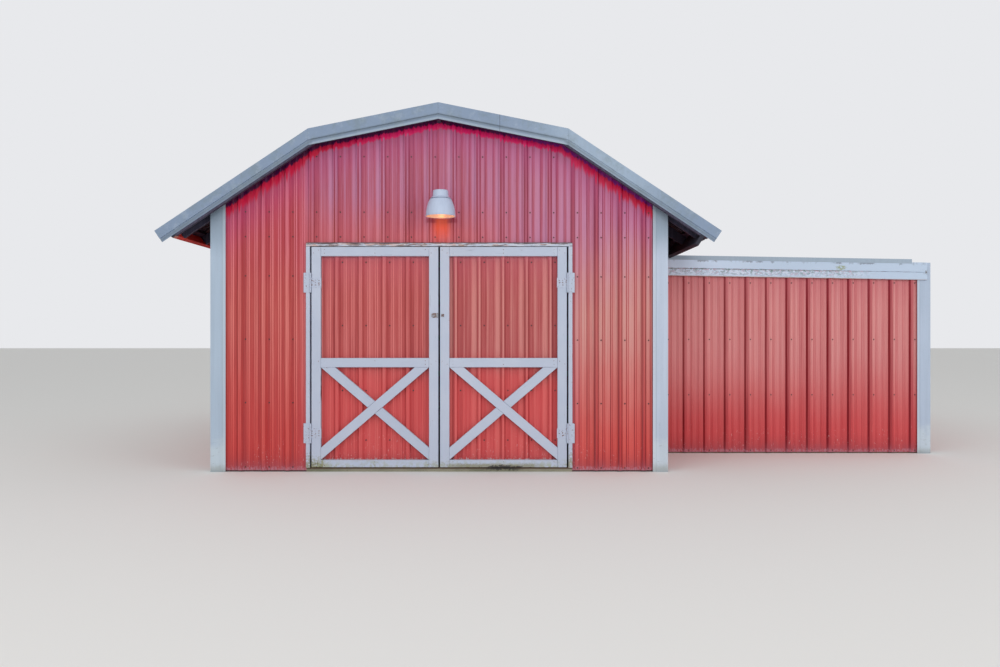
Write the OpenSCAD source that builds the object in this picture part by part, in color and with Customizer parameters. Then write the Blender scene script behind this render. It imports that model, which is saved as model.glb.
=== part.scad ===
// Small gambrel barn in ribbed sheet metal, with a pair of swinging plank
// doors, a wall light over them, and a closed lean-to on its right side.
// Front is -Y, +X is to the right seen from the front, +Z is up.
// The origin is on the ground, under the middle of the floor slab.

/* [Barn frame] */
// Width between the outer faces of the wall frame
frame_w = 4358; // [3900:1:5200]
// Depth between the outer faces of the wall frame
frame_d = 6096; // [5000:1:8000]
// Thickness of the floor slab
slab_t = 40; // [30:1:120]
// Clear height of the siding above the ground
siding_lift = 14; // [6:1:40]

/* [Timber] */
// Thickness of the framing timber
timber_t = 38; // [30:1:50]
// Width of the framing timber
timber_w = 89; // [70:1:120]
// Distance between wall girts, centre to centre
girt_pitch = 609; // [450:1:700]
// Height of the middle of the first girt above the skirt board
girt_first = 642; // [500:1:700]
// Place of the lower gable girt, as a share of the way from the door head to the upper one
gable_girt_share = 0.353; // [0.3:0.001:0.6]
// Height of the middle of the upper gable girt
gable_girt_high = 3034; // [2850:1:3080]
// Number of rafter pairs between the end walls, the end ones included
rafter_count = 11; // [7:1:15]
// Number of intermediate posts in each side wall
side_post_count = 2; // [1:1:4]
// Distance of the back wall posts from the middle
back_post_x = 730; // [400:1:1100]
// Thickness of the ridge board
ridge_board_t = 38; // [25:1:50]

/* [Roof] */
// Height of the roof line at the knee, on top of the purlins
knee_h = 3248; // [3150:1:3400]
// Distance of the knee from the middle of the barn
knee_x = 1222; // [1000:1:1400]
// Pitch of the upper slope in degrees
upper_pitch = 11.4; // [8:0.1:20]
// Pitch of the lower slope in degrees
lower_pitch = 33.7; // [28:0.1:36]
// How far the roof reaches past the side frame, level
eave_overhang = 489; // [380:1:600]
// How far the rake trim stands in front of the gable frame
gable_overhang = 165; // [120:1:260]
// Distance from the roof sheet's lower end to the eave board, along the slope
eave_board_setback = 104; // [60:1:160]
// Number of purlins on each lower slope
lower_purlins = 4; // [3:1:6]
// Number of purlins on each upper slope
upper_purlins = 3; // [2:1:4]

/* [Ribbed sheet] */
// Distance between the tall ribs
rib_pitch = 228.6; // [200:0.1:305]
// Height of the tall ribs
rib_h = 19; // [12:1:25]
// Width of a tall rib at its foot
rib_foot = 63; // [50:1:70]
// Width of a tall rib at its top
rib_top = 30; // [15:1:40]
// Height of the low ribs
minor_h = 4; // [2:1:6]
// Width of a low rib at its foot
minor_foot = 26; // [16:1:36]
// Thickness of the sheet metal
sheet_t = 1.5; // [1:0.1:3]
// Place of the first tall rib, from the middle of the front wall
front_rib_x = -91; // [-110:1:110]

/* [Metal trim] */
// Width of the corner trim on each face
corner_trim_w = 146; // [100:1:200]
// Width of the folded edge on the corner trim
trim_hem_w = 28; // [15:1:40]
// Height of the rake trim, measured plumb
rake_h = 155; // [120:1:160]
// Height of the rake trim's upper band, measured plumb
rake_band_h = 106; // [80:1:115]
// Step between the two bands of the rake trim
rake_step = 8; // [4:1:15]
// Width of the rake trim's flange over the roof sheet
rake_flange = 90; // [60:1:140]
// Width of each wing of the ridge cap
ridge_wing = 150; // [110:1:220]
// Width of each wing of the knee flashing
knee_wing = 110; // [80:1:160]

/* [Doors] */
// Half of the clear width between the door jambs
door_half_w = 1243; // [1000:1:1300]
// Height of the underside of the head casing
door_head_h = 2169; // [1900:1:2185]
// Gap between each leaf and its jamb
jamb_gap = 16; // [14:1:24]
// Gap between the two leaves
meeting_gap = 17; // [12:1:30]
// Gap over the leaves
head_gap = 5; // [5:1:20]
// Gap under the leaves
foot_gap = 6; // [5:1:20]
// How far the doors and jambs stand in front of the wall frame
door_face = 30; // [24:1:40]
// Thickness of the door boards
board_t = 38; // [25:1:45]
// Width of the door boards
board_w = 89; // [70:1:110]
// Height of the bottom rail
bottom_rail_h = 70; // [60:1:120]
// Height of the middle of the mid rail
mid_rail_h = 1051; // [800:1:1300]
// Open joint between neighbouring door boards
board_joint = 0.8; // [0.4:0.1:0.9]
// Place of a tall rib of the door sheets, from the middle
door_rib_x = -76; // [-110:1:110]
// Distance from the edge of a leaf to its sheet
door_sheet_margin = 4; // [2:1:12]

/* [Hinges and latch] */
// Height of the middle of the lower hinges
hinge_low_h = 373; // [250:1:500]
// Height of the middle of the upper hinges
hinge_high_h = 1820; // [1600:1:1950]
// Height of the hinge plate on the jamb
hinge_plate_h = 190; // [150:1:240]
// Height of the strap on the leaf
hinge_strap_h = 93; // [60:1:110]
// Reach of the hinge plate from the pin
hinge_plate_w = 67; // [46:1:80]
// Reach of the strap from the pin
hinge_strap_w = 103; // [70:1:110]
// Thickness of the hinge metal
hinge_t = 3; // [2:0.5:4]
// Radius of the hinge barrel
barrel_r = 8; // [7:0.5:9]
// Radius of the hinge pin
pin_r = 4; // [3:0.5:5]
// Running clearance around the pin
pin_clear = 0.3; // [0.1:0.1:0.6]
// Height of the latch
latch_h = 1505; // [1200:1:1700]

/* [Wall light] */
// How far the light hangs to the right of the middle between two tall ribs
light_shift = 7; // [-12:1:12]
// Distance from the wall frame to the middle of the shade
light_reach = 250; // [215:1:320]
// Height of the shade's rim
light_rim_h = 2426; // [2400:1:2500]
// Diameter of the shade's rim
shade_rim_d = 283; // [240:1:320]
// Width of the lip that stands out around the shade's rim
shade_lip_w = 4; // [2:0.5:8]
// Height of the lip
shade_lip_h = 5; // [3:0.5:10]
// Diameter of the shade's neck
shade_neck_d = 200; // [170:1:220]
// Height of the shade
shade_h = 159; // [120:1:180]
// Thickness of the shade
shade_t = 3; // [2:0.5:5]
// Height of the lamp housing
housing_h = 84; // [60:1:110]
// Diameter of the top of the lamp housing
housing_top_d = 141; // [110:1:150]
// Diameter of the lamp housing above its flared foot
housing_waist_d = 151; // [120:1:156]
// Diameter of the foot of the lamp housing
housing_foot_d = 192; // [160:1:198]
// Height of the flared foot
housing_flare_h = 26; // [12:1:40]
// Height of the open seam under the flared foot
housing_seam_h = 7; // [3:1:10]
// Depth of that seam, from the shade's neck
housing_seam_in = 16; // [10:1:20]
// Bevel around the top of the lamp housing
housing_bevel = 6; // [2:1:12]
// Diameter of the arm
light_arm_d = 34; // [24:1:42]
// Diameter of the bulb
bulb_d = 80; // [60:1:95]

/* [Lean-to] */
// How far the lean-to's front is set back from the barn's front
lean_setback = 1219; // [900:1:2200]
// Width of the lean-to's frame, from the barn's siding
lean_w = 3137; // [2400:1:4000]
// How far the lean-to's roof line starts below the barn's eave line
lean_roof_drop = 136; // [120:1:230]
// Number of posts in the lean-to's side wall, the corner ones included
lean_post_count = 4; // [2:1:6]
// Fall of the lean-to's roof to the right in degrees
lean_pitch = 0.95; // [0.3:0.05:1.6]
// Depth of the lean-to's joists
joist_w = 140; // [120:1:160]
// Number of joists
joist_count = 6; // [4:1:8]
// Height of the upper fascia board
fascia_upper_h = 108; // [80:1:120]
// Height of the lower fascia board
fascia_lower_h = 85; // [60:1:110]
// Thickness of the fascia boards
fascia_t = 19; // [15:1:38]
// Distance from the end of the fascia boards to the corner
fascia_end_gap = 45; // [20:1:80]
// Height of the metal edge strip
edge_strip_h = 48; // [30:1:60]
// Distance from the end of the metal edge strip to the corner
edge_strip_gap = 215; // [120:1:300]
// Place of the lean-to's first tall rib, from its left edge
lean_rib_x = 216; // [100:1:228]

/* [Hidden] */

// Colours as the finishes show them
siding_red = [0.66, 0.26, 0.26];
door_red = [0.70, 0.27, 0.26];
trim_grey = [0.68, 0.73, 0.79];
board_white = [0.76, 0.79, 0.82];
timber_brown = [0.55, 0.42, 0.28];
eave_dark = [0.20, 0.15, 0.13];
slab_grey = [0.55, 0.54, 0.51];
lamp_white = [0.86, 0.87, 0.88];
bulb_amber = [0.98, 0.75, 0.50];

// Clearances
fit_gap = 2;
ridge_gap = 4;
mitre_gap = 0.5;
knuckle_gap = 1;
neck_gap = 1;
// Gap of a piece that rests on a slope, such as a flashing on the ribs
seat_gap = 0.3;
// Gap between the board under the right eave and the lean-to's fascia
eave_board_stop = 12;
// Least flat between a rib and the edge of its sheet
rib_margin = 1;
// How far a cutter reaches past what it cuts
cut_over = 1;

// Wall frame
half_w = frame_w / 2;
front_y = -frame_d / 2;
back_y = frame_d / 2;
cladding = rib_h + sheet_t;
skin = cladding + sheet_t;
post_in = timber_t + timber_w;
skirt_mid = timber_w / 2;

// Roof line: a point and an outward normal for each slope
eave_x = half_w + eave_overhang;
eave_h = knee_h - (eave_x - knee_x) * tan(lower_pitch);
ridge_h = knee_h + knee_x * tan(upper_pitch);
upper_n = [sin(upper_pitch), cos(upper_pitch)];
lower_n = [sin(lower_pitch), cos(lower_pitch)];
knee_n = (upper_n + lower_n) / (1 + upper_n * lower_n);
lower_len = (eave_x - knee_x) / cos(lower_pitch);
upper_len = knee_x / cos(upper_pitch);
purlin_under = -timber_t;
rafter_under = purlin_under - timber_w;
cap_under = cladding + seat_gap;
cap_top = cap_under + sheet_t;

// Height of the roof line, lifted squarely off the slope by v, at distance x from the middle
function upper_z(x, v) = ridge_h - x * tan(upper_pitch) + v / cos(upper_pitch);
function lower_z(x, v) = knee_h - (x - knee_x) * tan(lower_pitch) + v / cos(lower_pitch);
function ridge_pt(v) = [0, upper_z(0, v)];
function knee_pt(v) = [knee_x, knee_h] + v * knee_n;
function eave_pt(v, back) =
    [eave_x - back * cos(lower_pitch), eave_h + back * sin(lower_pitch)] + v * lower_n;

// Places of a number of like pieces at even steps, from the first to the last
function spaced(first, last, count) =
    [for (i = [0 : count - 1]) first + (last - first) * i / (count - 1)];
// Heights of the middles of the level girts that fit under a height
function girts_under(top) =
    [for (z = girt_first; z + timber_w / 2 < top; z = z + girt_pitch) z];

// Gable ends of the roof
trim_front = front_y - gable_overhang;
trim_back = back_y + gable_overhang;
fly_front = trim_front + rake_step + sheet_t;
fly_back = trim_back - rake_step - sheet_t;
cap_y0 = trim_front + rake_flange + fit_gap;
cap_y1 = trim_back - rake_flange - fit_gap;

// Walls under the roof
plate_lift = 20;
plate_top = lower_z(half_w - timber_t, rafter_under) + plate_lift;
side_top = lower_z(half_w + skin, rafter_under) - fit_gap;
trim_x = half_w + skin;
girt_rows = girts_under(side_top - 2 * timber_w);

// Door opening
casing_out = door_half_w + timber_t;
head_top = door_head_h + timber_t;
gable_girt_low = head_top + gable_girt_share * (gable_girt_high - head_top);
face_y = front_y - door_face;
leaf_in = meeting_gap / 2;
leaf_out = door_half_w - jamb_gap;
leaf_foot = slab_t + foot_gap;
leaf_top = door_head_h - head_gap;
sheet_rib_y = face_y + board_t;
sheet_back_y = sheet_rib_y + cladding;
pin_x = door_half_w - jamb_gap / 2;
pin_y = face_y - barrel_r;

// Lean-to, standing against the folded edge of the barn's corner trim
lean_x0 = trim_x + sheet_t;
lean_x1 = lean_x0 + lean_w;
lean_front = front_y + lean_setback;
lean_trim_x = lean_x1 + skin;
lean_roof_h = eave_h - lean_roof_drop;
lean_siding_drop = 30;
lean_beam_foot = lean_roof_h - lean_w * tan(lean_pitch) - joist_w - timber_w;
lean_girt_rows = girts_under(lean_beam_foot);
fascia_back = lean_front - skin - sheet_t;
fascia_y = fascia_back - fascia_t;
// How far the metal edge strip hangs over the upper fascia board
strip_lap = 14;
function lean_z(x) = lean_roof_h - (x - lean_x0) * tan(lean_pitch);

// Wall light
light_x = front_rib_x + rib_pitch / 2 + light_shift;
light_y = front_y - light_reach;
light_seat_y = front_y - minor_h - sheet_t;
shade_top = light_rim_h + shade_h;
light_arm_h = shade_top + housing_h / 2;
bulb_r = bulb_d / 2;
shade_hole_r = bulb_r / 2;
bell_r = shade_rim_d / 2 - shade_lip_w;
bell_turn = acos(shade_neck_d / 2 / bell_r);
// The shade's curve from its rim to its neck, moved in by t
function bell(t) = [for (i = [0 : 8]) let (a = bell_turn * i / 8)
    [bell_r * cos(a) - t, (shade_h - t) * sin(a) / sin(bell_turn)]];

// Place of a tall rib on a wall from s0 to s1 that ends alike at both corners,
// with a tall rib under each corner trim
function centred_rib(s0, s1) = let (tail = ((s1 - s0) / 2) % rib_pitch)
    tail > rib_foot / 2 + rib_margin && tail < corner_trim_w - skin + rib_top / 2
        ? (s0 + s1) / 2 : (s0 + s1 + rib_pitch) / 2;

// Outlines of one rib, as [along, out] points
function tall_rib(x, t) = [
    [x - rib_foot / 2, t], [x - rib_top / 2, rib_h + t],
    [x + rib_top / 2, rib_h + t], [x + rib_foot / 2, t]];
function low_rib(x, t) = [
    [x - minor_foot / 2, t], [x - minor_foot / 4, minor_h + t],
    [x + minor_foot / 4, minor_h + t], [x + minor_foot / 2, t]];
// One face of a ribbed sheet from s0 to s1, lifted by t. The stations go along the sheet
// in thirds of the rib pitch, with a tall rib at every third station.
function sheet_line(s0, s1, phase, t) = let (
        third = rib_pitch / 3,
        first = floor((s0 - phase) / third),
        last = ceil((s1 - phase) / third))
    concat([[s0, t]],
        [for (k = [first : last])
            let (x = phase + k * third, tall = (k % 3 == 0), half = (tall ? rib_foot : minor_foot) / 2)
            if (x - half > s0 + rib_margin && x + half < s1 - rib_margin)
                each (tall ? tall_rib(x, t) : low_rib(x, t))],
        [[s1, t]]);
function reversed(v) = [for (i = [len(v) - 1 : -1 : 0]) v[i]];

// Section of a ribbed sheet, ribs towards +Y of the sketch
module sheet_section(s0, s1, phase) {
    polygon(concat(sheet_line(s0, s1, phase, sheet_t), reversed(sheet_line(s0, s1, phase, 0))));
}

// Upright ribbed sheet in the XZ plane, ribs towards -Y, its inner face at y
module front_sheet(x0, x1, y, z0, z1, phase) {
    translate([0, y, z0])
        mirror([0, 1, 0])
            linear_extrude(z1 - z0) sheet_section(x0, x1, phase);
}

// Upright ribbed sheet in the YZ plane, ribs towards +X, its inner face at x
module side_sheet(x, y0, y1, z0, z1, phase) {
    translate([x, 0, z0])
        mirror([1, 0, 0]) rotate([0, 0, 90])
            linear_extrude(z1 - z0) sheet_section(y0, y1, phase);
}

// Box from its low corner to its high corner
module bar(lo, hi) {
    translate(lo) cube(hi - lo);
}

// Outline in the XZ plane carried from y0 to y1
module along_y(y0, y1, outline) {
    translate([0, y1, 0]) rotate([90, 0, 0]) linear_extrude(y1 - y0) polygon(outline);
}

// A piece and its mirror image on the left
module pair() {
    children();
    mirror([1, 0, 0]) children();
}

// Everything under the roof line lifted by v, over the whole width
module under_roof(v, y0, y1) {
    ridge = ridge_pt(v);
    knee = knee_pt(v);
    eave = eave_pt(v, 0);
    along_y(y0, y1, [
        [-eave[0], 0], [eave[0], 0], eave, knee, ridge, [-knee[0], knee[1]], [-eave[0], eave[1]]]);
}

// What a gable's siding may fill: all under the purlins, but for a slot around the ridge board
module gable_room(y0, y1) {
    slot_x = ridge_board_t / 2 + fit_gap;
    slot_foot = upper_z(ridge_board_t / 2, rafter_under) - fit_gap;
    difference() {
        under_roof(purlin_under - fit_gap, y0, y1);
        bar([-slot_x, y0 - cut_over, slot_foot], [slot_x, y1 + cut_over, ridge_h + cut_over]);
    }
}

// A bar on the right lower slope: u down the slope from the knee, v off it
module on_lower(u0, u1, v0, v1, y0, y1) {
    translate([knee_x, 0, knee_h]) rotate([0, lower_pitch, 0])
        bar([u0, y0, v0], [u1, y1, v1]);
}

// A bar on the right upper slope: u down the slope from the ridge, v off it
module on_upper(u0, u1, v0, v1, y0, y1) {
    translate([0, 0, ridge_h]) rotate([0, upper_pitch, 0])
        bar([u0, y0, v0], [u1, y1, v1]);
}

// Floor and wall frame

module floor_slab() {
    color(slab_grey) {
        bar([-half_w + timber_t, front_y + timber_t, 0], [half_w - timber_t, back_y - timber_t, slab_t]);
        bar([-casing_out, front_y, 0], [casing_out, front_y + timber_t, slab_t]);
    }
}

module wall_post(x, y) {
    bar([x, y, slab_t], [x + timber_w, y + timber_w, ridge_h]);
}

module wall_posts() {
    inner_x = half_w - post_in;
    color(timber_brown) pair() {
        intersection() {
            union() {
                wall_post(casing_out, front_y + timber_t);
                wall_post(back_post_x, back_y - post_in);
            }
            under_roof(rafter_under, front_y, back_y);
        }
        for (y = spaced(front_y + timber_t, back_y - post_in, side_post_count + 2))
            bar([inner_x, y, slab_t], [inner_x + timber_w, y + timber_w, plate_top - timber_t]);
    }
}

module girt(x0, x1, y0, y1, z_mid) {
    bar([x0, y0, z_mid - timber_w / 2], [x1, y1, z_mid + timber_w / 2]);
}

module wall_girts() {
    inner_y0 = front_y + timber_t;
    inner_y1 = back_y - timber_t;
    color(timber_brown) {
        // Front wall, beside the doors and over them
        pair() for (z = concat([skirt_mid], girt_rows))
            girt(casing_out, half_w, front_y, inner_y0, z);
        girt(-casing_out - timber_w, casing_out + timber_w, front_y, inner_y0, head_top + timber_w / 2);
        intersection() {
            union() for (z = [gable_girt_low, gable_girt_high])
                girt(-half_w, half_w, front_y, inner_y0, z);
            under_roof(purlin_under, front_y, inner_y0);
        }
        // Back wall
        for (z = concat([skirt_mid], girt_rows))
            girt(-half_w, half_w, inner_y1, back_y, z);
        intersection() {
            union() for (z = [gable_girt_low, gable_girt_high])
                girt(-half_w, half_w, inner_y1, back_y, z);
            under_roof(purlin_under, inner_y1, back_y);
        }
        // Side walls, between the front and back girts
        pair() for (z = concat([skirt_mid], girt_rows, [side_top - timber_w / 2]))
            girt(half_w - timber_t, half_w, inner_y0 + fit_gap, inner_y1 - fit_gap, z);
    }
}

module plate_bar() {
    bar([half_w - post_in, front_y + timber_t, plate_top - timber_t],
        [half_w - timber_t, back_y - timber_t, plate_top]);
}

module top_plates() {
    color(timber_brown) pair() plate_bar();
}

module door_jambs() {
    color(board_white) pair()
        bar([door_half_w, face_y, slab_t], [casing_out, face_y + timber_w, door_head_h]);
}

module door_head() {
    color(board_white)
        bar([-casing_out, face_y, door_head_h], [casing_out, face_y + timber_w, head_top]);
}

// Siding of the barn

module front_siding_left() {
    color(siding_red) intersection() {
        front_sheet(-half_w, -casing_out, front_y, siding_lift, ridge_h, front_rib_x);
        gable_room(front_y - skin, front_y);
    }
}

module front_siding_right() {
    color(siding_red) intersection() {
        front_sheet(casing_out, half_w, front_y, siding_lift, ridge_h, front_rib_x);
        gable_room(front_y - skin, front_y);
    }
}

module front_siding_top() {
    color(siding_red) intersection() {
        front_sheet(-casing_out, casing_out, front_y, head_top, ridge_h, front_rib_x);
        gable_room(front_y - skin, front_y);
    }
}

module back_siding() {
    rib_x = centred_rib(-half_w, half_w);
    color(siding_red) intersection() {
        mirror([0, 1, 0])
            front_sheet(-half_w, half_w, -back_y, siding_lift, ridge_h, rib_x);
        gable_room(back_y, back_y + skin);
    }
}

module barn_side_sheet() {
    side_sheet(half_w, front_y, back_y, siding_lift, side_top, centred_rib(front_y, back_y));
}

module right_siding() {
    color(siding_red) barn_side_sheet();
}

module left_siding() {
    color(siding_red) mirror([1, 0, 0]) barn_side_sheet();
}

// Corner trim for the front right corner: two wings over the ribs, each with a folded edge
module corner_trim(x, y, z_front, z_side) {
    bar([x - corner_trim_w, y, 0], [x, y + sheet_t, z_front]);
    bar([x - corner_trim_w, y - sheet_t, 0], [x - corner_trim_w + trim_hem_w, y, z_front]);
    bar([x - sheet_t, y, 0], [x, y + corner_trim_w, z_side]);
    bar([x, y + corner_trim_w - trim_hem_w, 0], [x + sheet_t, y + corner_trim_w, z_side]);
}

module barn_corner_trim() {
    intersection() {
        corner_trim(trim_x, front_y - skin, ridge_h, side_top);
        under_roof(purlin_under - fit_gap, front_y - skin - sheet_t, front_y + corner_trim_w);
    }
}

module corner_trims() {
    color(trim_grey) pair() {
        barn_corner_trim();
        mirror([0, 1, 0]) barn_corner_trim();
    }
}

// Roof frame

module lower_rafter(y) {
    tail = eave_board_setback + timber_t;
    difference() {
        along_y(y, y + timber_t, [
            knee_pt(purlin_under), eave_pt(purlin_under, tail),
            eave_pt(rafter_under, tail), knee_pt(rafter_under)]);
        plate_bar();
    }
}

module upper_rafter(y) {
    foot = ridge_board_t / 2;
    along_y(y, y + timber_t, [
        [foot, upper_z(foot, purlin_under)], knee_pt(purlin_under),
        knee_pt(rafter_under), [foot, upper_z(foot, rafter_under)]]);
}

// Rafters stand at even steps between the end walls, with a fly rafter behind each rake trim
module every_rafter_y() {
    between = spaced(front_y + timber_t, back_y - 2 * timber_t, rafter_count);
    for ($y = concat([fly_front], between, [fly_back - timber_t])) children();
}

module lower_rafters() {
    color(timber_brown) pair() every_rafter_y() lower_rafter($y);
}

module upper_rafters() {
    color(timber_brown) pair() every_rafter_y() upper_rafter($y);
}

module ridge_board() {
    foot = ridge_board_t / 2;
    color(timber_brown) along_y(fly_front, fly_back, [
        [-foot, upper_z(foot, rafter_under)], [foot, upper_z(foot, rafter_under)],
        [foot, upper_z(foot, purlin_under)], [-foot, upper_z(foot, purlin_under)]]);
}

module roof_purlins() {
    lower_last = lower_len - eave_board_setback - timber_w - fit_gap;
    upper_last = upper_len - 2 * timber_w;
    color(timber_brown) pair() {
        for (u = spaced(timber_w - fit_gap, lower_last, lower_purlins))
            on_lower(u, u + timber_w, purlin_under, 0, fly_front, fly_back);
        for (u = spaced(timber_w / 2, upper_last, upper_purlins))
            on_upper(u, u + timber_w, purlin_under, 0, fly_front, fly_back);
    }
}

// Board across the rafter tails, square to the lower slope
module eave_board(v0, v1, y0, y1) {
    on_lower(lower_len - eave_board_setback - timber_t, lower_len - eave_board_setback, v0, v1, y0, y1);
}

module eave_boards() {
    hung_top = rafter_under - seat_gap;
    color(eave_dark) {
        pair() eave_board(rafter_under, purlin_under, fly_front, fly_back);
        // A second board hangs under the right one as far as the lean-to
        eave_board(hung_top - timber_w, hung_top, fly_front, fascia_y - eave_board_stop);
    }
}

// Roof covering

// Ribbed sheet on a slope, its ribs running down it from u0 to u1
module sheet_on_slope(u0, u1) {
    translate([u0, 0, 0]) rotate([90, 0, 90]) linear_extrude(u1 - u0)
        sheet_section(trim_front + sheet_t, trim_back - sheet_t, rib_pitch / 2);
}

module lower_roof_sheets() {
    color(trim_grey) pair()
        translate([knee_x, 0, knee_h]) rotate([0, lower_pitch, 0])
            sheet_on_slope(fit_gap, lower_len);
}

module upper_roof_sheets() {
    color(trim_grey) pair()
        translate([0, 0, ridge_h]) rotate([0, upper_pitch, 0])
            sheet_on_slope(ridge_gap, upper_len - fit_gap);
}

module ridge_cap() {
    wing = ridge_wing * cos(upper_pitch);
    color(trim_grey) along_y(cap_y0, cap_y1, [
        [-wing, upper_z(wing, cap_under)], ridge_pt(cap_under), [wing, upper_z(wing, cap_under)],
        [wing, upper_z(wing, cap_top)], ridge_pt(cap_top), [-wing, upper_z(wing, cap_top)]]);
}

module knee_flashings() {
    up = knee_wing * cos(upper_pitch);
    down = knee_wing * cos(lower_pitch);
    color(trim_grey) pair() along_y(cap_y0, cap_y1, [
        [knee_x - up, upper_z(knee_x - up, cap_under)], knee_pt(cap_under),
        [knee_x + down, lower_z(knee_x + down, cap_under)],
        [knee_x + down, lower_z(knee_x + down, cap_top)], knee_pt(cap_top),
        [knee_x - up, upper_z(knee_x - up, cap_top)]]);
}

// One length of rake trim between two points of the roof's top line, its face towards -Y:
// an upper band, a step and a lower band, with a flange back over the roof sheet
module rake_length(a, b, flange_a, flange_b) {
    drop = [0, rake_h];
    band = [0, rake_band_h];
    lip = [0, sheet_t];
    step_y = trim_front + rake_step;
    along_y(trim_front, trim_front + sheet_t, [a, b, b - band, a - band]);
    along_y(trim_front, step_y + sheet_t, [a - band, b - band, b - band + lip, a - band + lip]);
    along_y(step_y, step_y + sheet_t, [a - band, b - band, b - drop, a - drop]);
    along_y(trim_front, trim_front + rake_flange, [a, b, flange_b, flange_a]);
}

module rake_trim_half() {
    ridge_x = mitre_gap;
    above_x = knee_pt(cap_top)[0] - mitre_gap;
    below_x = knee_pt(cap_top)[0] + mitre_gap;
    rake_length([ridge_x, upper_z(ridge_x, cap_top)], [above_x, upper_z(above_x, cap_top)],
        [ridge_x, upper_z(ridge_x, cap_under)], [above_x, upper_z(above_x, cap_under)]);
    // The lower length ends square to its slope
    difference() {
        rake_length([below_x, lower_z(below_x, cap_top)], eave_pt(cap_top, -mitre_gap),
            [below_x, lower_z(below_x, cap_under)], eave_pt(cap_under, -mitre_gap));
        on_lower(lower_len + mitre_gap, lower_len + rake_h, -2 * rake_h, rake_h,
            trim_front - cut_over, front_y);
    }
}

module rake_trims() {
    color(trim_grey) pair() {
        rake_trim_half();
        mirror([0, 1, 0]) rake_trim_half();
    }
}

// Wall light

module light_housing() {
    plate_w = 90;
    plate_h = 130;
    plate_t = 8;
    color(lamp_white) {
        translate([light_x, light_y, shade_top]) rotate_extrude($fn = 64)
            polygon([
                [0, 0], [shade_neck_d / 2 - housing_seam_in, 0],
                [shade_neck_d / 2 - housing_seam_in, housing_seam_h],
                [housing_foot_d / 2, housing_seam_h], [housing_waist_d / 2, housing_flare_h],
                [housing_top_d / 2, housing_h - housing_bevel],
                [housing_top_d / 2 - housing_bevel, housing_h], [0, housing_h]]);
        translate([light_x, light_seat_y, light_arm_h]) rotate([90, 0, 0])
            cylinder(h = light_seat_y - light_y, d = light_arm_d, $fn = 32);
        bar([light_x - plate_w / 2, light_seat_y - plate_t, light_arm_h - plate_h / 2],
            [light_x + plate_w / 2, light_seat_y, light_arm_h + plate_h / 2]);
    }
}

module light_shade() {
    color(lamp_white) translate([light_x, light_y, light_rim_h]) {
        rotate_extrude($fn = 64)
            polygon(concat(bell(0), [[shade_hole_r, shade_h], [shade_hole_r, shade_h - shade_t]],
                reversed(bell(shade_t))));
        rotate_extrude($fn = 64)
            translate([bell_r - shade_t, 0]) square([shade_t + shade_lip_w, shade_lip_h]);
    }
}

module light_bulb() {
    neck_r = shade_hole_r - neck_gap;
    bare_neck = 14;
    neck_h = shade_t + bare_neck;
    shoulder = 60;
    facet = 15;
    mid_h = -neck_h - bulb_r * sin(shoulder);
    color(bulb_amber) translate([light_x, light_y, shade_top]) rotate_extrude($fn = 48)
        polygon(concat(
            [[0, 0], [neck_r, 0], [neck_r, -neck_h]],
            [for (a = [shoulder : -facet : -90]) [bulb_r * cos(a), mid_h + bulb_r * sin(a)]]));
}

// Lean-to

module under_lean_roof(drop, y0, y1) {
    along_y(y0, y1, [
        [lean_x0, 0], [lean_x1 + skin, 0],
        [lean_x1 + skin, lean_z(lean_x1 + skin) - drop], [lean_x0, lean_z(lean_x0) - drop]]);
}

module lean_post(x, y) {
    intersection() {
        bar([x, y, 0], [x + timber_w, y + timber_w, lean_roof_h]);
        under_lean_roof(joist_w + timber_w, y, y + timber_w);
    }
}

module lean_to_posts() {
    x_mid = (lean_x0 + lean_x1 - timber_w) / 2;
    y_front = lean_front + timber_t;
    y_back = back_y - post_in;
    color(timber_brown) {
        for (x = [lean_x0, x_mid], y = [y_front, y_back]) lean_post(x, y);
        for (y = spaced(y_front, y_back, lean_post_count)) lean_post(lean_x1 - post_in, y);
    }
}

module lean_to_girts() {
    y_in = lean_front + timber_t;
    y_out = back_y - timber_t;
    color(timber_brown) {
        for (z = concat([skirt_mid], lean_girt_rows)) {
            girt(lean_x0, lean_x1, lean_front, y_in, z);
            girt(lean_x0, lean_x1, y_out, back_y, z);
            girt(lean_x1 - timber_t, lean_x1, y_in + fit_gap, y_out - fit_gap, z);
        }
        // Beams under the joists, level with the fall of the roof
        for (y = [y_in, y_out - timber_t]) difference() {
            under_lean_roof(joist_w, y, y + timber_t);
            under_lean_roof(joist_w + timber_w, y, y + timber_t);
            bar([lean_x1 - timber_t, y - cut_over, 0],
                [lean_x1 + skin + cut_over, y + timber_t + cut_over, lean_roof_h]);
        }
    }
}

module lean_to_joists() {
    y0 = lean_front + timber_t;
    y1 = back_y - timber_t;
    color(timber_brown) intersection() {
        union() for (x = spaced(lean_x0, lean_x1 - 2 * timber_t, joist_count))
            bar([x, y0, 0], [x + timber_t, y1, lean_roof_h]);
        difference() {
            under_lean_roof(0, y0, y1);
            under_lean_roof(joist_w, y0, y1);
        }
    }
}

module lean_to_roof() {
    color(trim_grey) translate([lean_x0, 0, lean_z(lean_x0)]) rotate([0, lean_pitch, 0])
        rotate([90, 0, 90]) linear_extrude((lean_w + skin + sheet_t) / cos(lean_pitch))
            sheet_section(lean_front - cladding + fit_gap, back_y + skin + sheet_t, rib_pitch / 2);
}

module lean_to_front_siding() {
    color(siding_red) intersection() {
        front_sheet(lean_x0, lean_x1, lean_front, siding_lift, lean_roof_h, lean_x0 + lean_rib_x);
        under_lean_roof(lean_siding_drop, lean_front - skin, lean_front);
    }
}

module lean_to_side_siding() {
    top = lean_z(lean_x1 + skin) - lean_siding_drop;
    rib_y = centred_rib(lean_front, back_y);
    color(siding_red)
        side_sheet(lean_x1, lean_front, back_y, siding_lift, top, rib_y);
}

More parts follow.
